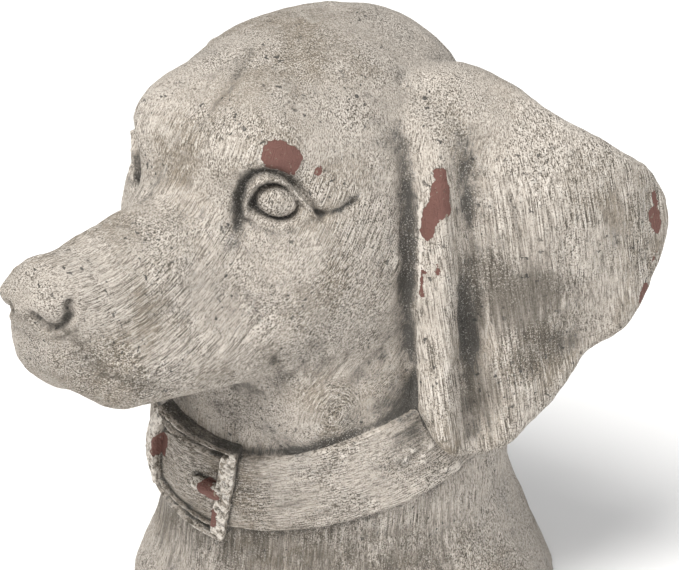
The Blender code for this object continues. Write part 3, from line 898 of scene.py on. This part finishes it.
@dataclass(frozen=True)
class RubbedStone:
    """Pale rubbed paint over red-brown undercoat on cast stone, with grey wash and painted shade in the
    hollows.
    """

    pale: tuple = (0.490, 0.440, 0.386, 1.0)
    warm: tuple = (0.270, 0.228, 0.178, 1.0)
    bright: tuple = (0.730, 0.680, 0.620, 1.0)
    shade: tuple = (0.090, 0.078, 0.062, 1.0)
    # Grey wash, also laid as painted shade in creases, corners and under the strap and buckle.
    wash_and_painted_shade: tuple = (0.052, 0.051, 0.048, 1.0)
    undercoat: tuple = (0.165, 0.082, 0.068, 1.0)
    roughness: float = 0.88

    def material(self) -> bpy.types.Material:
        """Build the finish.

        Returns:
            The material, which reads the attributes that the pieces are dressed with.
        """
        material = bpy.data.materials.new("rubbed_stone")
        material.use_nodes = True
        tree = material.node_tree
        tree.nodes.clear()
        wire = Wiring(tree)
        place = wire.add("ShaderNodeTexCoord").outputs["Object"]
        hollow, stain, chip, rub_and_highlight, by_neck, by_ear = (
            wire.add("ShaderNodeAttribute", attribute_name=name).outputs["Fac"]
            for name in ("hollow", "stain", "chip", "rub_and_highlight", "by_neck", "by_ear")
        )
        sand = wire.add("ShaderNodeGroup", node_tree=grain_group())
        tree.links.new(place, sand.inputs["Place"])
        grain, pits = sand.outputs["Grain"], sand.outputs["Pits"]
        fine, broad = self.strokes(wire, by_neck, by_ear)

        patches = wire.noise(place, 26.0, 3.0, 0.6)
        clouds = wire.noise(place, 110.0, 4.0, 0.65)
        mottle = wire.noise(place, 700.0, 3.0, 0.65)
        drift = wire.math("MULTIPLY_ADD", patches, 0.55, wire.math("MULTIPLY", clouds, 0.45))
        busy = wire.step(wire.noise(place, 58.0, 3.0, 0.6), 0.38, 0.62)
        lined = wire.math("MULTIPLY_ADD", busy, 0.36, 0.62)
        dark_grain = wire.math("MULTIPLY_ADD", busy, 0.60, 0.35)
        pale_grain = wire.math("MULTIPLY_ADD", busy, 0.45, 0.10)
        # The wash colour goes where hollow is high: grey wash in the hollows and painted shade in
        # creases and corners.
        washed_and_shaded = wire.ragged(hollow, (fine, 3.2), (broad, 1.0), (clouds, 1.6))
        tanned = wire.ragged(stain, (broad, 1.6))
        # Pale rubbed lines and lumps, and painted highlights on the buckle's raised faces and the ear's
        # front edge.
        rubs_and_highlights = wire.ragged(rub_and_highlight, (mottle, 2.0))
        tone = wire.mix(wire.step(drift, 0.46, 0.60), self.pale, self.warm)
        for colour, value, low, high, cover in (
            (self.bright, clouds, 0.50, 0.66, 0.4),
            (self.shade, mottle, 0.45, 0.36, 0.25),
            (self.shade, fine, 0.48, 0.40, lined),
            (self.bright, fine, 0.53, 0.60, lined),
            (self.wash_and_painted_shade, washed_and_shaded, 0.15, 1.05, 0.90),
            (self.shade, tanned, 0.15, 1.1, 0.80),
            (self.shade, grain, 0.45, 0.38, dark_grain),
            (self.bright, grain, 0.57, 0.64, pale_grain),
            (self.bright, rubs_and_highlights, 0.50, 0.80, 0.90),
        ):
            tone = wire.layer(tone, colour, value, low, high, cover)
        tone = wire.mix(wire.math("MULTIPLY", pits, 0.85), tone, self.wash_and_painted_shade)

        edge = wire.ragged(chip, (wire.noise(place, 330.0, 3.0, 0.6), 3.2))
        bare = wire.step(edge, -0.08, 0.08)
        rust = wire.mix(wire.step(mottle, 0.62, 0.70), self.undercoat, self.warm)
        tone = wire.mix(bare, tone, rust)

        height = wire.math("MULTIPLY", fine, 1.1)
        for value, gain in ((grain, 0.60), (mottle, 0.45), (clouds, 0.50), (pits, -0.60), (bare, -0.45)):
            height = wire.math("MULTIPLY_ADD", value, gain, height)
        bump = wire.add("ShaderNodeBump", {"Strength": 0.9, "Distance": 0.001, "Height": height})
        roughness = wire.math("MULTIPLY_ADD", bare, -0.12, self.roughness)
        inputs = {"Base Color": tone, "Roughness": roughness, "Normal": bump.outputs[0]}
        surface = wire.add("ShaderNodeBsdfPrincipled", {**inputs, "Specular IOR Level": 0.25})
        wire.add("ShaderNodeOutputMaterial", {"Surface": surface.outputs[0]})
        return material

    def strokes(
        self, wire: Wiring, by_neck: NodeValue, by_ear: NodeValue
    ) -> list[NodeValue]:
        """Run the brush strokes along the head, the neck and the ears, each flowing into the next.

        Args:
            wire: Adds the nodes.
            by_neck: Share of the neck's flow.
            by_ear: Share of the ears' flow.

        Returns:
            The fine and the broad strokes.
        """
        group = brush_group()
        brushes = []
        for name in ("stroke_head", "stroke_neck", "stroke_ear"):
            stroke = wire.add("ShaderNodeAttribute", attribute_name=name).outputs["Vector"]
            brushes.append(wire.add("ShaderNodeGroup", node_tree=group))
            wire.tree.links.new(stroke, brushes[-1].inputs["Stroke"])
        joined = []
        for kind in ("Fine", "Broad"):
            head, neck, ear = (brush.outputs[kind] for brush in brushes)
            lower = wire.add("ShaderNodeMix", {0: by_neck, 2: head, 3: neck}).outputs[0]
            joined.append(wire.add("ShaderNodeMix", {0: by_ear, 2: lower, 3: ear}).outputs[0])
        return joined


@dataclass
class Bust:
    """The head, ears and neck, as one fine carved skin over the solid."""

    figure: Figure
    collar: Collar
    coarse: float = 0.0020
    grain: float = 0.00125
    eye_reach: float = 17.0
    nose_place: Array = field(default_factory=lambda: at(8, -74, -21))
    nose_reach: float = 15.0

    def build(self, solid: Piece) -> Piece:
        """Copy the solid, refine it and carve it.

        Args:
            solid: The plain solid from the frame.

        Returns:
            The finished skin.
        """
        alone(solid)
        bpy.ops.object.duplicate()
        piece = newest("bust_skin")
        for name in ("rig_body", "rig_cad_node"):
            if name in piece:
                del piece[name]
        piece.parent = None
        bpy.ops.object.mode_set(mode="EDIT")
        bpy.ops.mesh.select_all(action="SELECT")
        bpy.ops.mesh.remove_doubles(threshold=0.000002)
        bpy.ops.object.mode_set(mode="OBJECT")
        apply_modifier(piece, "REMESH", mode="VOXEL", voxel_size=self.coarse)
        self.press(piece, 3)
        self.relax(piece, 2)
        self.press(piece, 1)
        apply_modifier(piece, "REMESH", mode="VOXEL", voxel_size=self.grain)
        self.press(piece, 2)
        self.refine(piece, self.figure.eye.place, self.eye_reach)
        self.refine(piece, self.figure.eye.place, self.eye_reach - 3.0)
        self.refine(piece, self.nose_place, self.nose_reach)
        for _ in range(2):
            self.relax(piece, 1)
            self.press(piece, 1)
        self.carve(piece)
        alone(piece)
        bpy.ops.object.shade_smooth()
        return piece

    def press(self, piece: Piece, rounds: int) -> None:
        """Move the skin onto the figure's plain form."""
        move_to(piece, settle(places_of(piece), self.figure.distance, rounds))

    def relax(self, piece: Piece, rounds: int) -> None:
        """Even out the skin."""
        places = vertices_of(piece.data)
        set_vertices(piece.data, neighbour_mean(places, edges_of(piece.data), rounds))

    def refine(self, piece: Piece, centre: Array, reach: float) -> None:
        """Halve the faces near a place, on both sides."""
        mesh = bmesh.new()
        mesh.from_mesh(piece.data)
        near = np.linalg.norm(mirrored_left(places_of(piece)) - centre, axis=1) < reach
        edges = [edge for edge in mesh.edges if all(near[end.index] for end in edge.verts)]
        bmesh.ops.subdivide_edges(mesh, edges=edges, cuts=1, use_grid_fill=True)
        mesh.to_mesh(piece.data)
        mesh.free()

    def carve(self, piece: Piece) -> None:
        """Carve the finer relief and the uneven, hand-rubbed surface."""
        places = places_of(piece)
        _, away = slope(places, self.figure.distance)
        away = neighbour_mean(away, edges_of(piece.data), 2)
        away /= np.maximum(np.linalg.norm(away, axis=1, keepdims=True), 1e-6)
        above_ground = rise(places[:, 2] - GROUND, 1.2, 1.0)
        height = self.figure.relief(places)
        uneven = lumpy(places, (0.45, 9.0, 3), (0.22, 3.6, 4), (0.10, 1.7, 5))
        _, up = self.collar.unrolled(places)
        beside = np.abs(up) - self.collar.strap_width / 2
        fillet = 0.9 * hump(np.maximum(beside, 0.0), 0.0, 0.9) * (np.abs(up) < 22.0)
        fillet *= self.figure.ears.distance(places) > 2.0
        height += (uneven + fillet) * above_ground
        places = places + height[:, None] * away
        places[:, 2] = np.maximum(places[:, 2], GROUND)
        move_to(piece, places)

    def dress(self, piece: Piece, finish: bpy.types.Material) -> None:
        """Work out where wash and painted shade, stains, chips and strokes lie, and give the skin its
        finish.
        """
        mesh = piece.data
        places = places_of(piece)
        views = views_of(places)
        pairs = edges_of(mesh)
        normal = normals_of(mesh)
        # Painted shade: places that lie below their neighbours get darker, as shade gathers in creases,
        # on top of the grey wash.
        near = np.einsum("ij,ij->i", neighbour_mean(places, pairs, 6) - places, normal)
        wide = np.einsum("ij,ij->i", neighbour_mean(places, pairs, 90) - places, normal)
        hollow = 1.4 * near + 0.20 * wide + self.figure.eye.wash_and_painted_shade(views[Seen.MIRRORED])
        for shade in SHADES:
            hollow += shade.amount(views)
        _, up = self.collar.unrolled(places)
        on_neck = views[Seen.MIRRORED][:, 0] < 60
        # Painted shade on the neck just above and below the strap's edges.
        for side, amount, spread, reach in ((up, 0.55, 3.0, 12.0), (-up, 0.75, 1.8, 9.0)):
            off = side - self.collar.strap_width / 2
            shade = amount * hump(np.maximum(off, 0.0), 0.0, spread)
            hollow += shade * (off > -2.0) * (off < reach) * on_neck
        store(mesh, "hollow", hollow)
        store(mesh, "stain", sum(stain.amount(views) for stain in STAINS))
        store(mesh, "chip", chip_depth(places, CHIPS))
        rubs_and_highlights = sum(rub_and_highlight.amount(views) for rub_and_highlight in RUBS_AND_HIGHLIGHTS)
        store(mesh, "rub_and_highlight", np.where(places[:, 0] > 0, rubs_and_highlights, 0.4 * rubs_and_highlights))
        for name, values in self.strokes(places, views[Seen.BY_EAR]).items():
            store(mesh, name, values)
        mesh.materials.clear()
        mesh.materials.append(finish)

    def strokes(self, places: Array, side: Array) -> dict[str, Array]:
        """Return the coordinates in which the strokes run straight, and each flow's share.

        Args:
            places: Places on the figure.
            side: The same, folded over to the left ear.

        Returns:
            The values by the name of their attribute.
        """
        x, y, z = places.T
        ring = np.hypot(y + 62, z - 45)
        sweep = np.arctan2(z - 45, y + 62) * 90.0
        head = np.stack([x * 2.9, ring * 2.9, sweep * 0.11 + np.abs(x) * 0.04], 1)
        jowl = side - at(36, 16, -73)
        far = np.linalg.norm(jowl, axis=1)
        swirl = np.stack([far * 2.6, jowl[:, 1] * 0.35 + x * 0.02, jowl[:, 2] * 0.35], 1)
        neck = np.stack([(x - 0.10 * z) * 2.8, y * 2.8, z * 0.11], 1)
        neck = np.where((far < 19.0)[:, None], swirl, neck)
        across, down, out = self.figure.ears.flat_place(side)
        off_face = np.abs(out - self.figure.ears.relief(across, down)) - 6.5
        off_ear = np.maximum(self.figure.ears.edge(across, down), off_face)
        ear = np.stack([(across - 0.12 * down) * 2.9, out * 1.2, down * 0.11], 1)
        return {
            "stroke_head": head,
            "stroke_neck": neck,
            "stroke_ear": ear,
            "by_neck": np.maximum(rise(-z, 80.0, 6.0), 0.8 - 0.8 * rise(far, 13.0, 6.0)),
            "by_ear": 1.0 - rise(off_ear, 0.5, 3.0),
        }


SHADES = (
    Score(EAR_GROOVE, 1.5, 0.85, Seen.BY_EAR),
    Score(
        ((36, 38, 22), (39, 36, 12), (43, 35, 2), (45, 34, -10), (46, 33, -40), (46, 33, -72)),
        4.6, 0.30, Seen.BY_EAR,
    ),
    Score(((41, 39, 21), (45, 39, 4), (47.5, 38, -40), (48.5, 37.5, -74)), 2.4, 0.30, Seen.BY_EAR),
    Score(NOSTRIL_RIM, 1.4, 1.6),
    Score(((0, -80, -15), (3, -79, -19), (5, -77.5, -19.5)), 0.9, 0.7),
    Score(((55, 51, -38), (57, 53, -46), (59, 55, -60)), 3.8, 0.85),
    Score(((54, 57, 8), (55, 58, -4), (55, 56, -14)), 4.0, 0.45),
    Score(((22, -10, -9), (20, -11, -6), (24, -8, -3)), 4.2, 0.45),
    Score(((8, -5, -75), (20, 0, -78), (35, 12, -84)), 7.0, 0.45),
    Score(((26, 8, -66), (14, -8, -62), (4, -14, -62)), 5.0, 0.5),
    Score(((46, 36, -74), (44, 33, -80)), 6.0, 0.5),
    Score(((20, -61, -41), (17, -66, -35), (14, -70, -27)), 1.2, 0.55),
    Score(((32, -5, -50), (33, -3, -53), (32, -2, -55)), 1.4, 0.5),
    Score(((5, 7, 28), (2, 13, 31), (1, 20, 34)), 1.8, 0.55),
    Score(((68, 66, -66), (72, 70, -62), (80, 78, -58)), 2.0, 0.25),
)
STAINS = (
    Score(((13, -71, -25), (16, -67, -33), (20, -60, -41), (26, -50, -46)), 4.5, 0.7),
    Score(((32, -4, -50), (26, -12, -42)), 7.0, 0.45),
    Score(((24, -14, -27), (34, 0, -30)), 8.0, 0.35),
    Score(((66, 62, -46), (74, 70, -56), (62, 58, -70)), 10.0, 0.95),
    Score(((60, 56, -30), (70, 64, -36), (78, 74, -38)), 8.0, 0.85),
    Score(((70, 62, -12), (74, 68, -24)), 9.0, 0.45),
    Score(((0, -79, -22), (5, -78, -20)), 2.5, 0.7),
    Score(((40, 20, -70), (36, 14, -60), (44, 28, -50)), 9.0, 0.40),
    # This band darkens the chest below the strap.
    Score(((0, -5, -118), (30, 6, -124), (54, 40, -128)), 18.0, 0.75),
    Score(((54, 52, -74), (62, 60, -80)), 8.0, 0.5),
)
# Pale rubbed lines and spots; the line along the ear's front edge also serves as a painted edge
# highlight.
RUBS_AND_HIGHLIGHTS = (
    Score(
        ((49.0, 41.5, -9), (50.3, 41, -24), (51, 40.5, -40), (51.5, 39.5, -62)),
        1.5, 1.0, Seen.BY_EAR,
    ),
    Score(((47, 35, -36), (46.5, 34, -46), (44, 33, -56), (40, 27, -60), (38, 24, -64)), 0.9, 0.6),
    Score(((43, 43, 13.5), (43.1, 43, 13)), 0.9, 1.2),
    Score(((48.5, 38.5, -75), (48.7, 38.5, -75.5)), 1.0, 1.2),
    Score(((67, 72, 14), (79, 92, 2), (86, 103, -14)), 0.9, 0.5),
    Score(((52, 45, -40), (54, 48, -46), (53, 47, -54), (56, 50, -62)), 0.9, 0.65),
    Score(((10, -25, -52), (22, -14, -56), (30, 0, -58)), 1.2, 0.35),
)
BUCKLE_CHIPS = (
    Chip(((-12, 4), (-12.5, -2)), 1.7),
    Chip(((8.0, 1.8), (11.0, 0.4)), 2.0),
    Chip(((11.2, -6.5), (11.2, -11)), 1.3),
)


def chip_depth(places: Array, chips: Sequence[Chip]) -> Array:
    """Return how far inside a chip each place lies, in parts, negative outside."""
    best = np.full(len(places), -9.0)
    for chip in chips:
        best = np.maximum(best, chip.radius - chain(places, chip.line, 12.0))
    return best


def dress_flat(mesh: bpy.types.Mesh, finish: bpy.types.Material, values: dict[str, Array]) -> None:
    """Give a small piece its finish, with no wash, painted shade, stain, chip, rubbed place or painted
    highlight but the given ones.

    Args:
        mesh: The piece's mesh.
        finish: The finish.
        values: Its own values by the name of their attribute.
    """
    plain = np.zeros(len(mesh.vertices))
    names = ("hollow", "stain", "rub_and_highlight", "by_neck", "by_ear")
    for name, value in {**{name: plain for name in names}, **values}.items():
        store(mesh, name, value)
    mesh.materials.append(finish)


@dataclass
class Strap:
    """The moulded strap around the neck."""

    collar: Collar
    cells_around: int = 420
    cells_up: int = 24
    lumps: tuple = (
        ((52.5, 36, -88), 1.9, 0.9), ((53.5, 39, -92), 2.2, 1.0), ((54, 42, -88), 1.8, 0.7),
        ((57, 51, -97), 2.6, 0.9), ((56, 47, -98), 1.8, 0.7), ((51, 33, -91), 1.4, 0.5),
    )

    def build(self) -> Piece:
        """Model the strap flat, wrap it and give it its thickness.

        Returns:
            The finished strap.
        """
        bpy.ops.object.select_all(action="DESELECT")
        bpy.ops.mesh.primitive_grid_add(
            x_subdivisions=self.cells_around, y_subdivisions=self.cells_up, size=1.0
        )
        piece = newest("strap")
        flat = vertices_of(piece.data)
        length = 2 * math.pi * self.collar.radius
        inner = np.full(len(flat), -SUNK)
        laid = np.stack([flat[:, 0] * length, inner, flat[:, 1] * self.collar.strap_width], 1)
        move_to(piece, self.collar.lay(laid))
        alone(piece)
        bpy.ops.object.mode_set(mode="EDIT")
        bpy.ops.mesh.select_all(action="SELECT")
        bpy.ops.mesh.remove_doubles(threshold=0.00005)
        bpy.ops.mesh.normals_make_consistent(inside=False)
        bpy.ops.object.mode_set(mode="OBJECT")
        thick = (SUNK + self.collar.strap_thickness) * PART
        apply_modifier(piece, "SOLIDIFY", thickness=thick, offset=1.0, use_even_offset=True)
        apply_modifier(piece, "BEVEL", width=PART, **ROUNDED)
        places = places_of(piece)
        _, up = self.collar.unrolled(places)
        bulge = 0.35 * (1 - (2 * up / self.collar.strap_width) ** 2)
        uneven = lumpy(places, (0.30, 8.0, 11), (0.16, 2.6, 12))
        for lump, size, tall in self.lumps:
            uneven += tall * hump(np.linalg.norm(places - at(*lump), axis=1), 0.0, size)
        move_to(piece, places + (uneven + bulge)[:, None] * normals_of(piece.data))
        bpy.ops.object.shade_smooth()
        return piece

    def dress(self, piece: Piece, finish: bpy.types.Material) -> None:
        """Lay painted shade and wash beside the buckle and under the ear, less of it along the edges,
        and give the strap its finish.
        """
        places = places_of(piece)
        around, up = self.collar.unrolled(places)
        edge = self.collar.strap_width / 2 - np.abs(up)
        on_buckle = np.stack(self.collar.on_buckle(around, up), 1)
        off_bar = np.abs(self.collar.frame_distance(around, up)) - 2.1
        off_pin = chain(on_buckle, ((4.5, 0.8), (12.0, 0.8))) - 2.2
        beside = np.minimum(off_bar, off_pin)
        # Painted shadow of the buckle's bar and pin on the strap, slightly lighter along the strap's
        # edges.
        hollow = 0.95 * hump(np.maximum(beside, 0.0), 0.0, 1.0) - 0.25 * hump(edge, 1.0, 1.0)
        # Painted shade on the strap under the ear.
        by_ear = np.linalg.norm((places - at(50, 36, -80)) * (1, 1, 0.7), axis=1)
        hollow += 0.75 * hump(by_ear, 0.0, 7.0)
        hollow += 0.20 * lattice_noise(places, 7.0, 21)
        lumps = sum(
            hump(np.linalg.norm(places - at(*lump), axis=1), 0.0, size) for lump, size, _ in self.lumps
        )
        dress_flat(piece.data, finish, {
            "hollow": hollow,
            "stain": 0.25 + 0.35 * lattice_noise(places, 12.0, 22),
            "chip": chip_depth(on_buckle, BUCKLE_CHIPS),
            "rub_and_highlight": 0.9 * lumps,
            "stroke_head": np.stack([around * 0.40, up * 2.8, np.zeros(len(up))], 1) + 500.0,
        })


@dataclass
class Buckle:
    """The buckle's frame and its pin, moulded onto the strap."""

    collar: Collar
    bar: float = 4.2
    rise_above: float = 2.6
    bulge: float = 1.5
    pin_radius: float = 2.8
    pin_length: float = 10.0
    pin_rise: float = 0.8

    def build(self) -> Piece:
        """Model the frame flat as an inset plate, raise it, round it and wrap it onto the strap.

        Returns:
            The finished frame.
        """
        bpy.ops.object.select_all(action="DESELECT")
        bpy.ops.mesh.primitive_plane_add(size=1.0)
        piece = newest("buckle")
        half_width, half_height = self.collar.buckle_half
        size = (2 * half_width + self.bar, 2 * half_height + self.bar, 0.0)
        set_vertices(piece.data, vertices_of(piece.data) * size)
        bpy.ops.object.mode_set(mode="EDIT")
        bpy.ops.mesh.select_all(action="SELECT")
        bpy.ops.mesh.bevel(offset=0.3 * self.bar, segments=3, affect="VERTICES")
        bpy.ops.mesh.inset(thickness=self.bar, depth=0.0)
        bpy.ops.mesh.delete(type="FACE")
        bpy.ops.mesh.select_all(action="SELECT")
        bpy.ops.mesh.normals_make_consistent(inside=False)
        bpy.ops.object.mode_set(mode="OBJECT")
        tall = SUNK + self.collar.strap_thickness + self.rise_above
        apply_modifier(piece, "SOLIDIFY", thickness=tall, offset=0.0)
        apply_modifier(piece, "BEVEL", width=0.9, **ROUNDED)
        apply_modifier(piece, "REMESH", mode="VOXEL", voxel_size=0.42)
        flat = vertices_of(piece.data)
        bowed = self.collar.bowed(flat[:, 0], flat[:, 1])
        flat[:, 0] -= self.collar.buckle_bow * bowed
        flat[:, 2] += self.bulge * bowed
        set_vertices(piece.data, flat)
        self.wrap(piece, tall / 2 - SUNK)
        return piece

    def build_pin(self) -> Piece:
        """Model the pin as a tapered, round-ended rod and wrap it beside the frame.

        Returns:
            The finished pin.
        """
        bpy.ops.object.select_all(action="DESELECT")
        bpy.ops.mesh.primitive_uv_sphere_add(segments=48, ring_count=32, radius=self.pin_radius)
        piece = newest("buckle_pin")
        places = vertices_of(piece.data)
        share = np.clip(places[:, 2] / self.pin_radius, -1, 1)
        slim = (1.0 - 0.10 * (1 - share)) * np.maximum(1 - share**2, 0.02) ** -0.3
        middle = self.collar.buckle_half[0] - self.pin_length / 2
        across = middle + share * self.pin_length / 2
        rod = np.stack([across, places[:, 0] * slim + self.pin_rise, places[:, 1] * slim], 1)
        set_vertices(piece.data, rod)
        self.wrap(piece, self.collar.strap_thickness + 0.65 * self.rise_above)
        return piece

    def wrap(self, piece: Piece, lift: float) -> None:
        """Wrap a flat piece, lying in X and Y, onto the neck.

        Args:
            piece: The piece, in parts.
            lift: How far its middle stands off the neck.
        """
        flat = vertices_of(piece.data)
        around, up = self.collar.off_buckle(flat[:, 0], flat[:, 1])
        places = self.collar.lay(np.stack([around, flat[:, 2] + lift, up], 1))
        move_to(piece, places)
        uneven = lumpy(places, (0.28, 3.2, 31), (0.16, 1.3, 32))
        move_to(piece, places + uneven[:, None] * normals_of(piece.data))
        alone(piece)
        bpy.ops.object.shade_smooth()

    def dress(self, piece: Piece, finish: bpy.types.Material) -> None:
        """Lay painted shade in the corners between bar and strap, a painted highlight on the raised
        faces, and give the piece its finish.
        """
        places = places_of(piece)
        around, up = self.collar.unrolled(places)
        base = self.collar.neck.distance(places) - self.collar.strap_thickness
        # Painted shade in the corners next to the strap; painted highlight on the raised faces further
        # out.
        corner = hump(np.maximum(base, 0.0), 0.0, 0.9)
        dress_flat(piece.data, finish, {
            "hollow": corner + 0.15 * lattice_noise(places, 2.4, 33),
            "stain": 0.3 * lattice_noise(places, 5.0, 34),
            "rub_and_highlight": 0.62 * rise(base, 1.9, 0.6),
            "chip": chip_depth(np.stack(self.collar.on_buckle(around, up), 1), BUCKLE_CHIPS),
            "stroke_head": np.stack([around * 0.5, up * 0.5, base], 1) + 700.0,
        })


@dataclass
class Studio:
    """A plain pale floor, soft lights and the camera."""

    camera_place: Place = (742.0, -763.8, 437.3)
    camera_aim: Place = (39.0, 16.9, -30.4)
    reach: float = 1.150
    sensor: float = 36.0
    width_in_view: float = 203.7

    def floor(self) -> Piece:
        """Lay the pale floor."""
        bpy.ops.object.select_all(action="DESELECT")
        bpy.ops.mesh.primitive_plane_add(size=12.0, location=(0, 0, 0))
        piece = newest("floor")
        material = bpy.data.materials.new("pale_floor")
        material.use_nodes = True
        surface = material.node_tree.nodes["Principled BSDF"]
        surface.inputs["Base Color"].default_value = (0.92, 0.92, 0.92, 1.0)
        surface.inputs["Roughness"].default_value = 0.9
        piece.data.materials.append(material)
        return piece

    def light(
        self, name: str, place: Place, aim: Place, size: float, power: float, colour: Place
    ) -> None:
        """Hang a square soft light.

        Args:
            name: The light's name.
            place: Where it hangs, in metres.
            aim: Where it points.
            size: Length of its side, in metres.
            power: Its power, in watts.
            colour: Its colour.
        """
        lamp = bpy.data.lights.new(name, "AREA")
        lamp.shape = "SQUARE"
        lamp.size = size
        lamp.energy = power
        lamp.color = colour
        holder = bpy.data.objects.new(name, lamp)
        bpy.context.scene.collection.objects.link(holder)
        holder.location = place
        holder.rotation_euler = direction_to_euler(np.subtract(aim, place))

    def lights(self) -> None:
        """Hang the lights and set the even light of the room."""
        world = bpy.data.worlds.new("room")
        world.use_nodes = True
        sky = world.node_tree.nodes["Background"]
        sky.inputs["Color"].default_value = (1.0, 1.0, 1.0, 1.0)
        sky.inputs["Strength"].default_value = 0.45
        bpy.context.scene.world = world
        bpy.context.scene.view_settings.view_transform = "Standard"
        self.light("key", (0.10, -1.55, 2.35), (0.0, 0.0, 0.12), 1.5, 118.0, (1.0, 0.985, 0.96))
        self.light("side", (1.6, 0.6, 1.2), (0.0, 0.0, 0.10), 0.9, 10.0, (0.97, 0.985, 1.0))

    def camera(self) -> None:
        """Set up the camera at the picture's angle."""
        place, target = to_world(at(*self.camera_place)), to_world(at(*self.camera_aim))
        lens = bpy.data.cameras.new("camera")
        lens.sensor_width = self.sensor
        lens.lens = self.sensor * self.reach / (self.width_in_view * PART)
        holder = bpy.data.objects.new("camera", lens)
        bpy.context.scene.collection.objects.link(holder)
        holder.location = place
        holder.rotation_euler = direction_to_euler(target - place)
        bpy.context.scene.camera = holder


def direction_to_euler(toward: Array) -> tuple[float, float, float]:
    """Return the turn that points an object's -Z along a direction, with its Y up."""
    flat = math.hypot(toward[0], toward[1])
    return math.atan2(flat, -toward[2]), 0.0, math.atan2(-toward[0], toward[1])


def main() -> None:
    """Build the bust, dress it and set the scene."""
    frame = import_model()
    solid = frame["nodes"]["dog_bust"]
    figure = Figure()
    collar = Collar(figure.neck)
    finish = RubbedStone().material()

    bust = Bust(figure, collar)
    skin = bust.build(solid)
    bust.dress(skin, finish)
    strap = Strap(collar)
    band = strap.build()
    strap.dress(band, finish)
    buckle = Buckle(collar)
    bars = buckle.build()
    buckle.dress(bars, finish)
    pin = buckle.build_pin()
    buckle.dress(pin, finish)
    for piece in (skin, band, bars, pin):
        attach(piece, "root")
        LOG.info("%s: %d faces", piece.name, len(piece.data.polygons))
    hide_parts("dog_bust")

    studio = Studio()
    studio.floor()
    studio.lights()
    studio.camera()


if __name__ == "__main__":
    logging.basicConfig(level=logging.INFO, format="%(name)s: %(message)s")
    main()
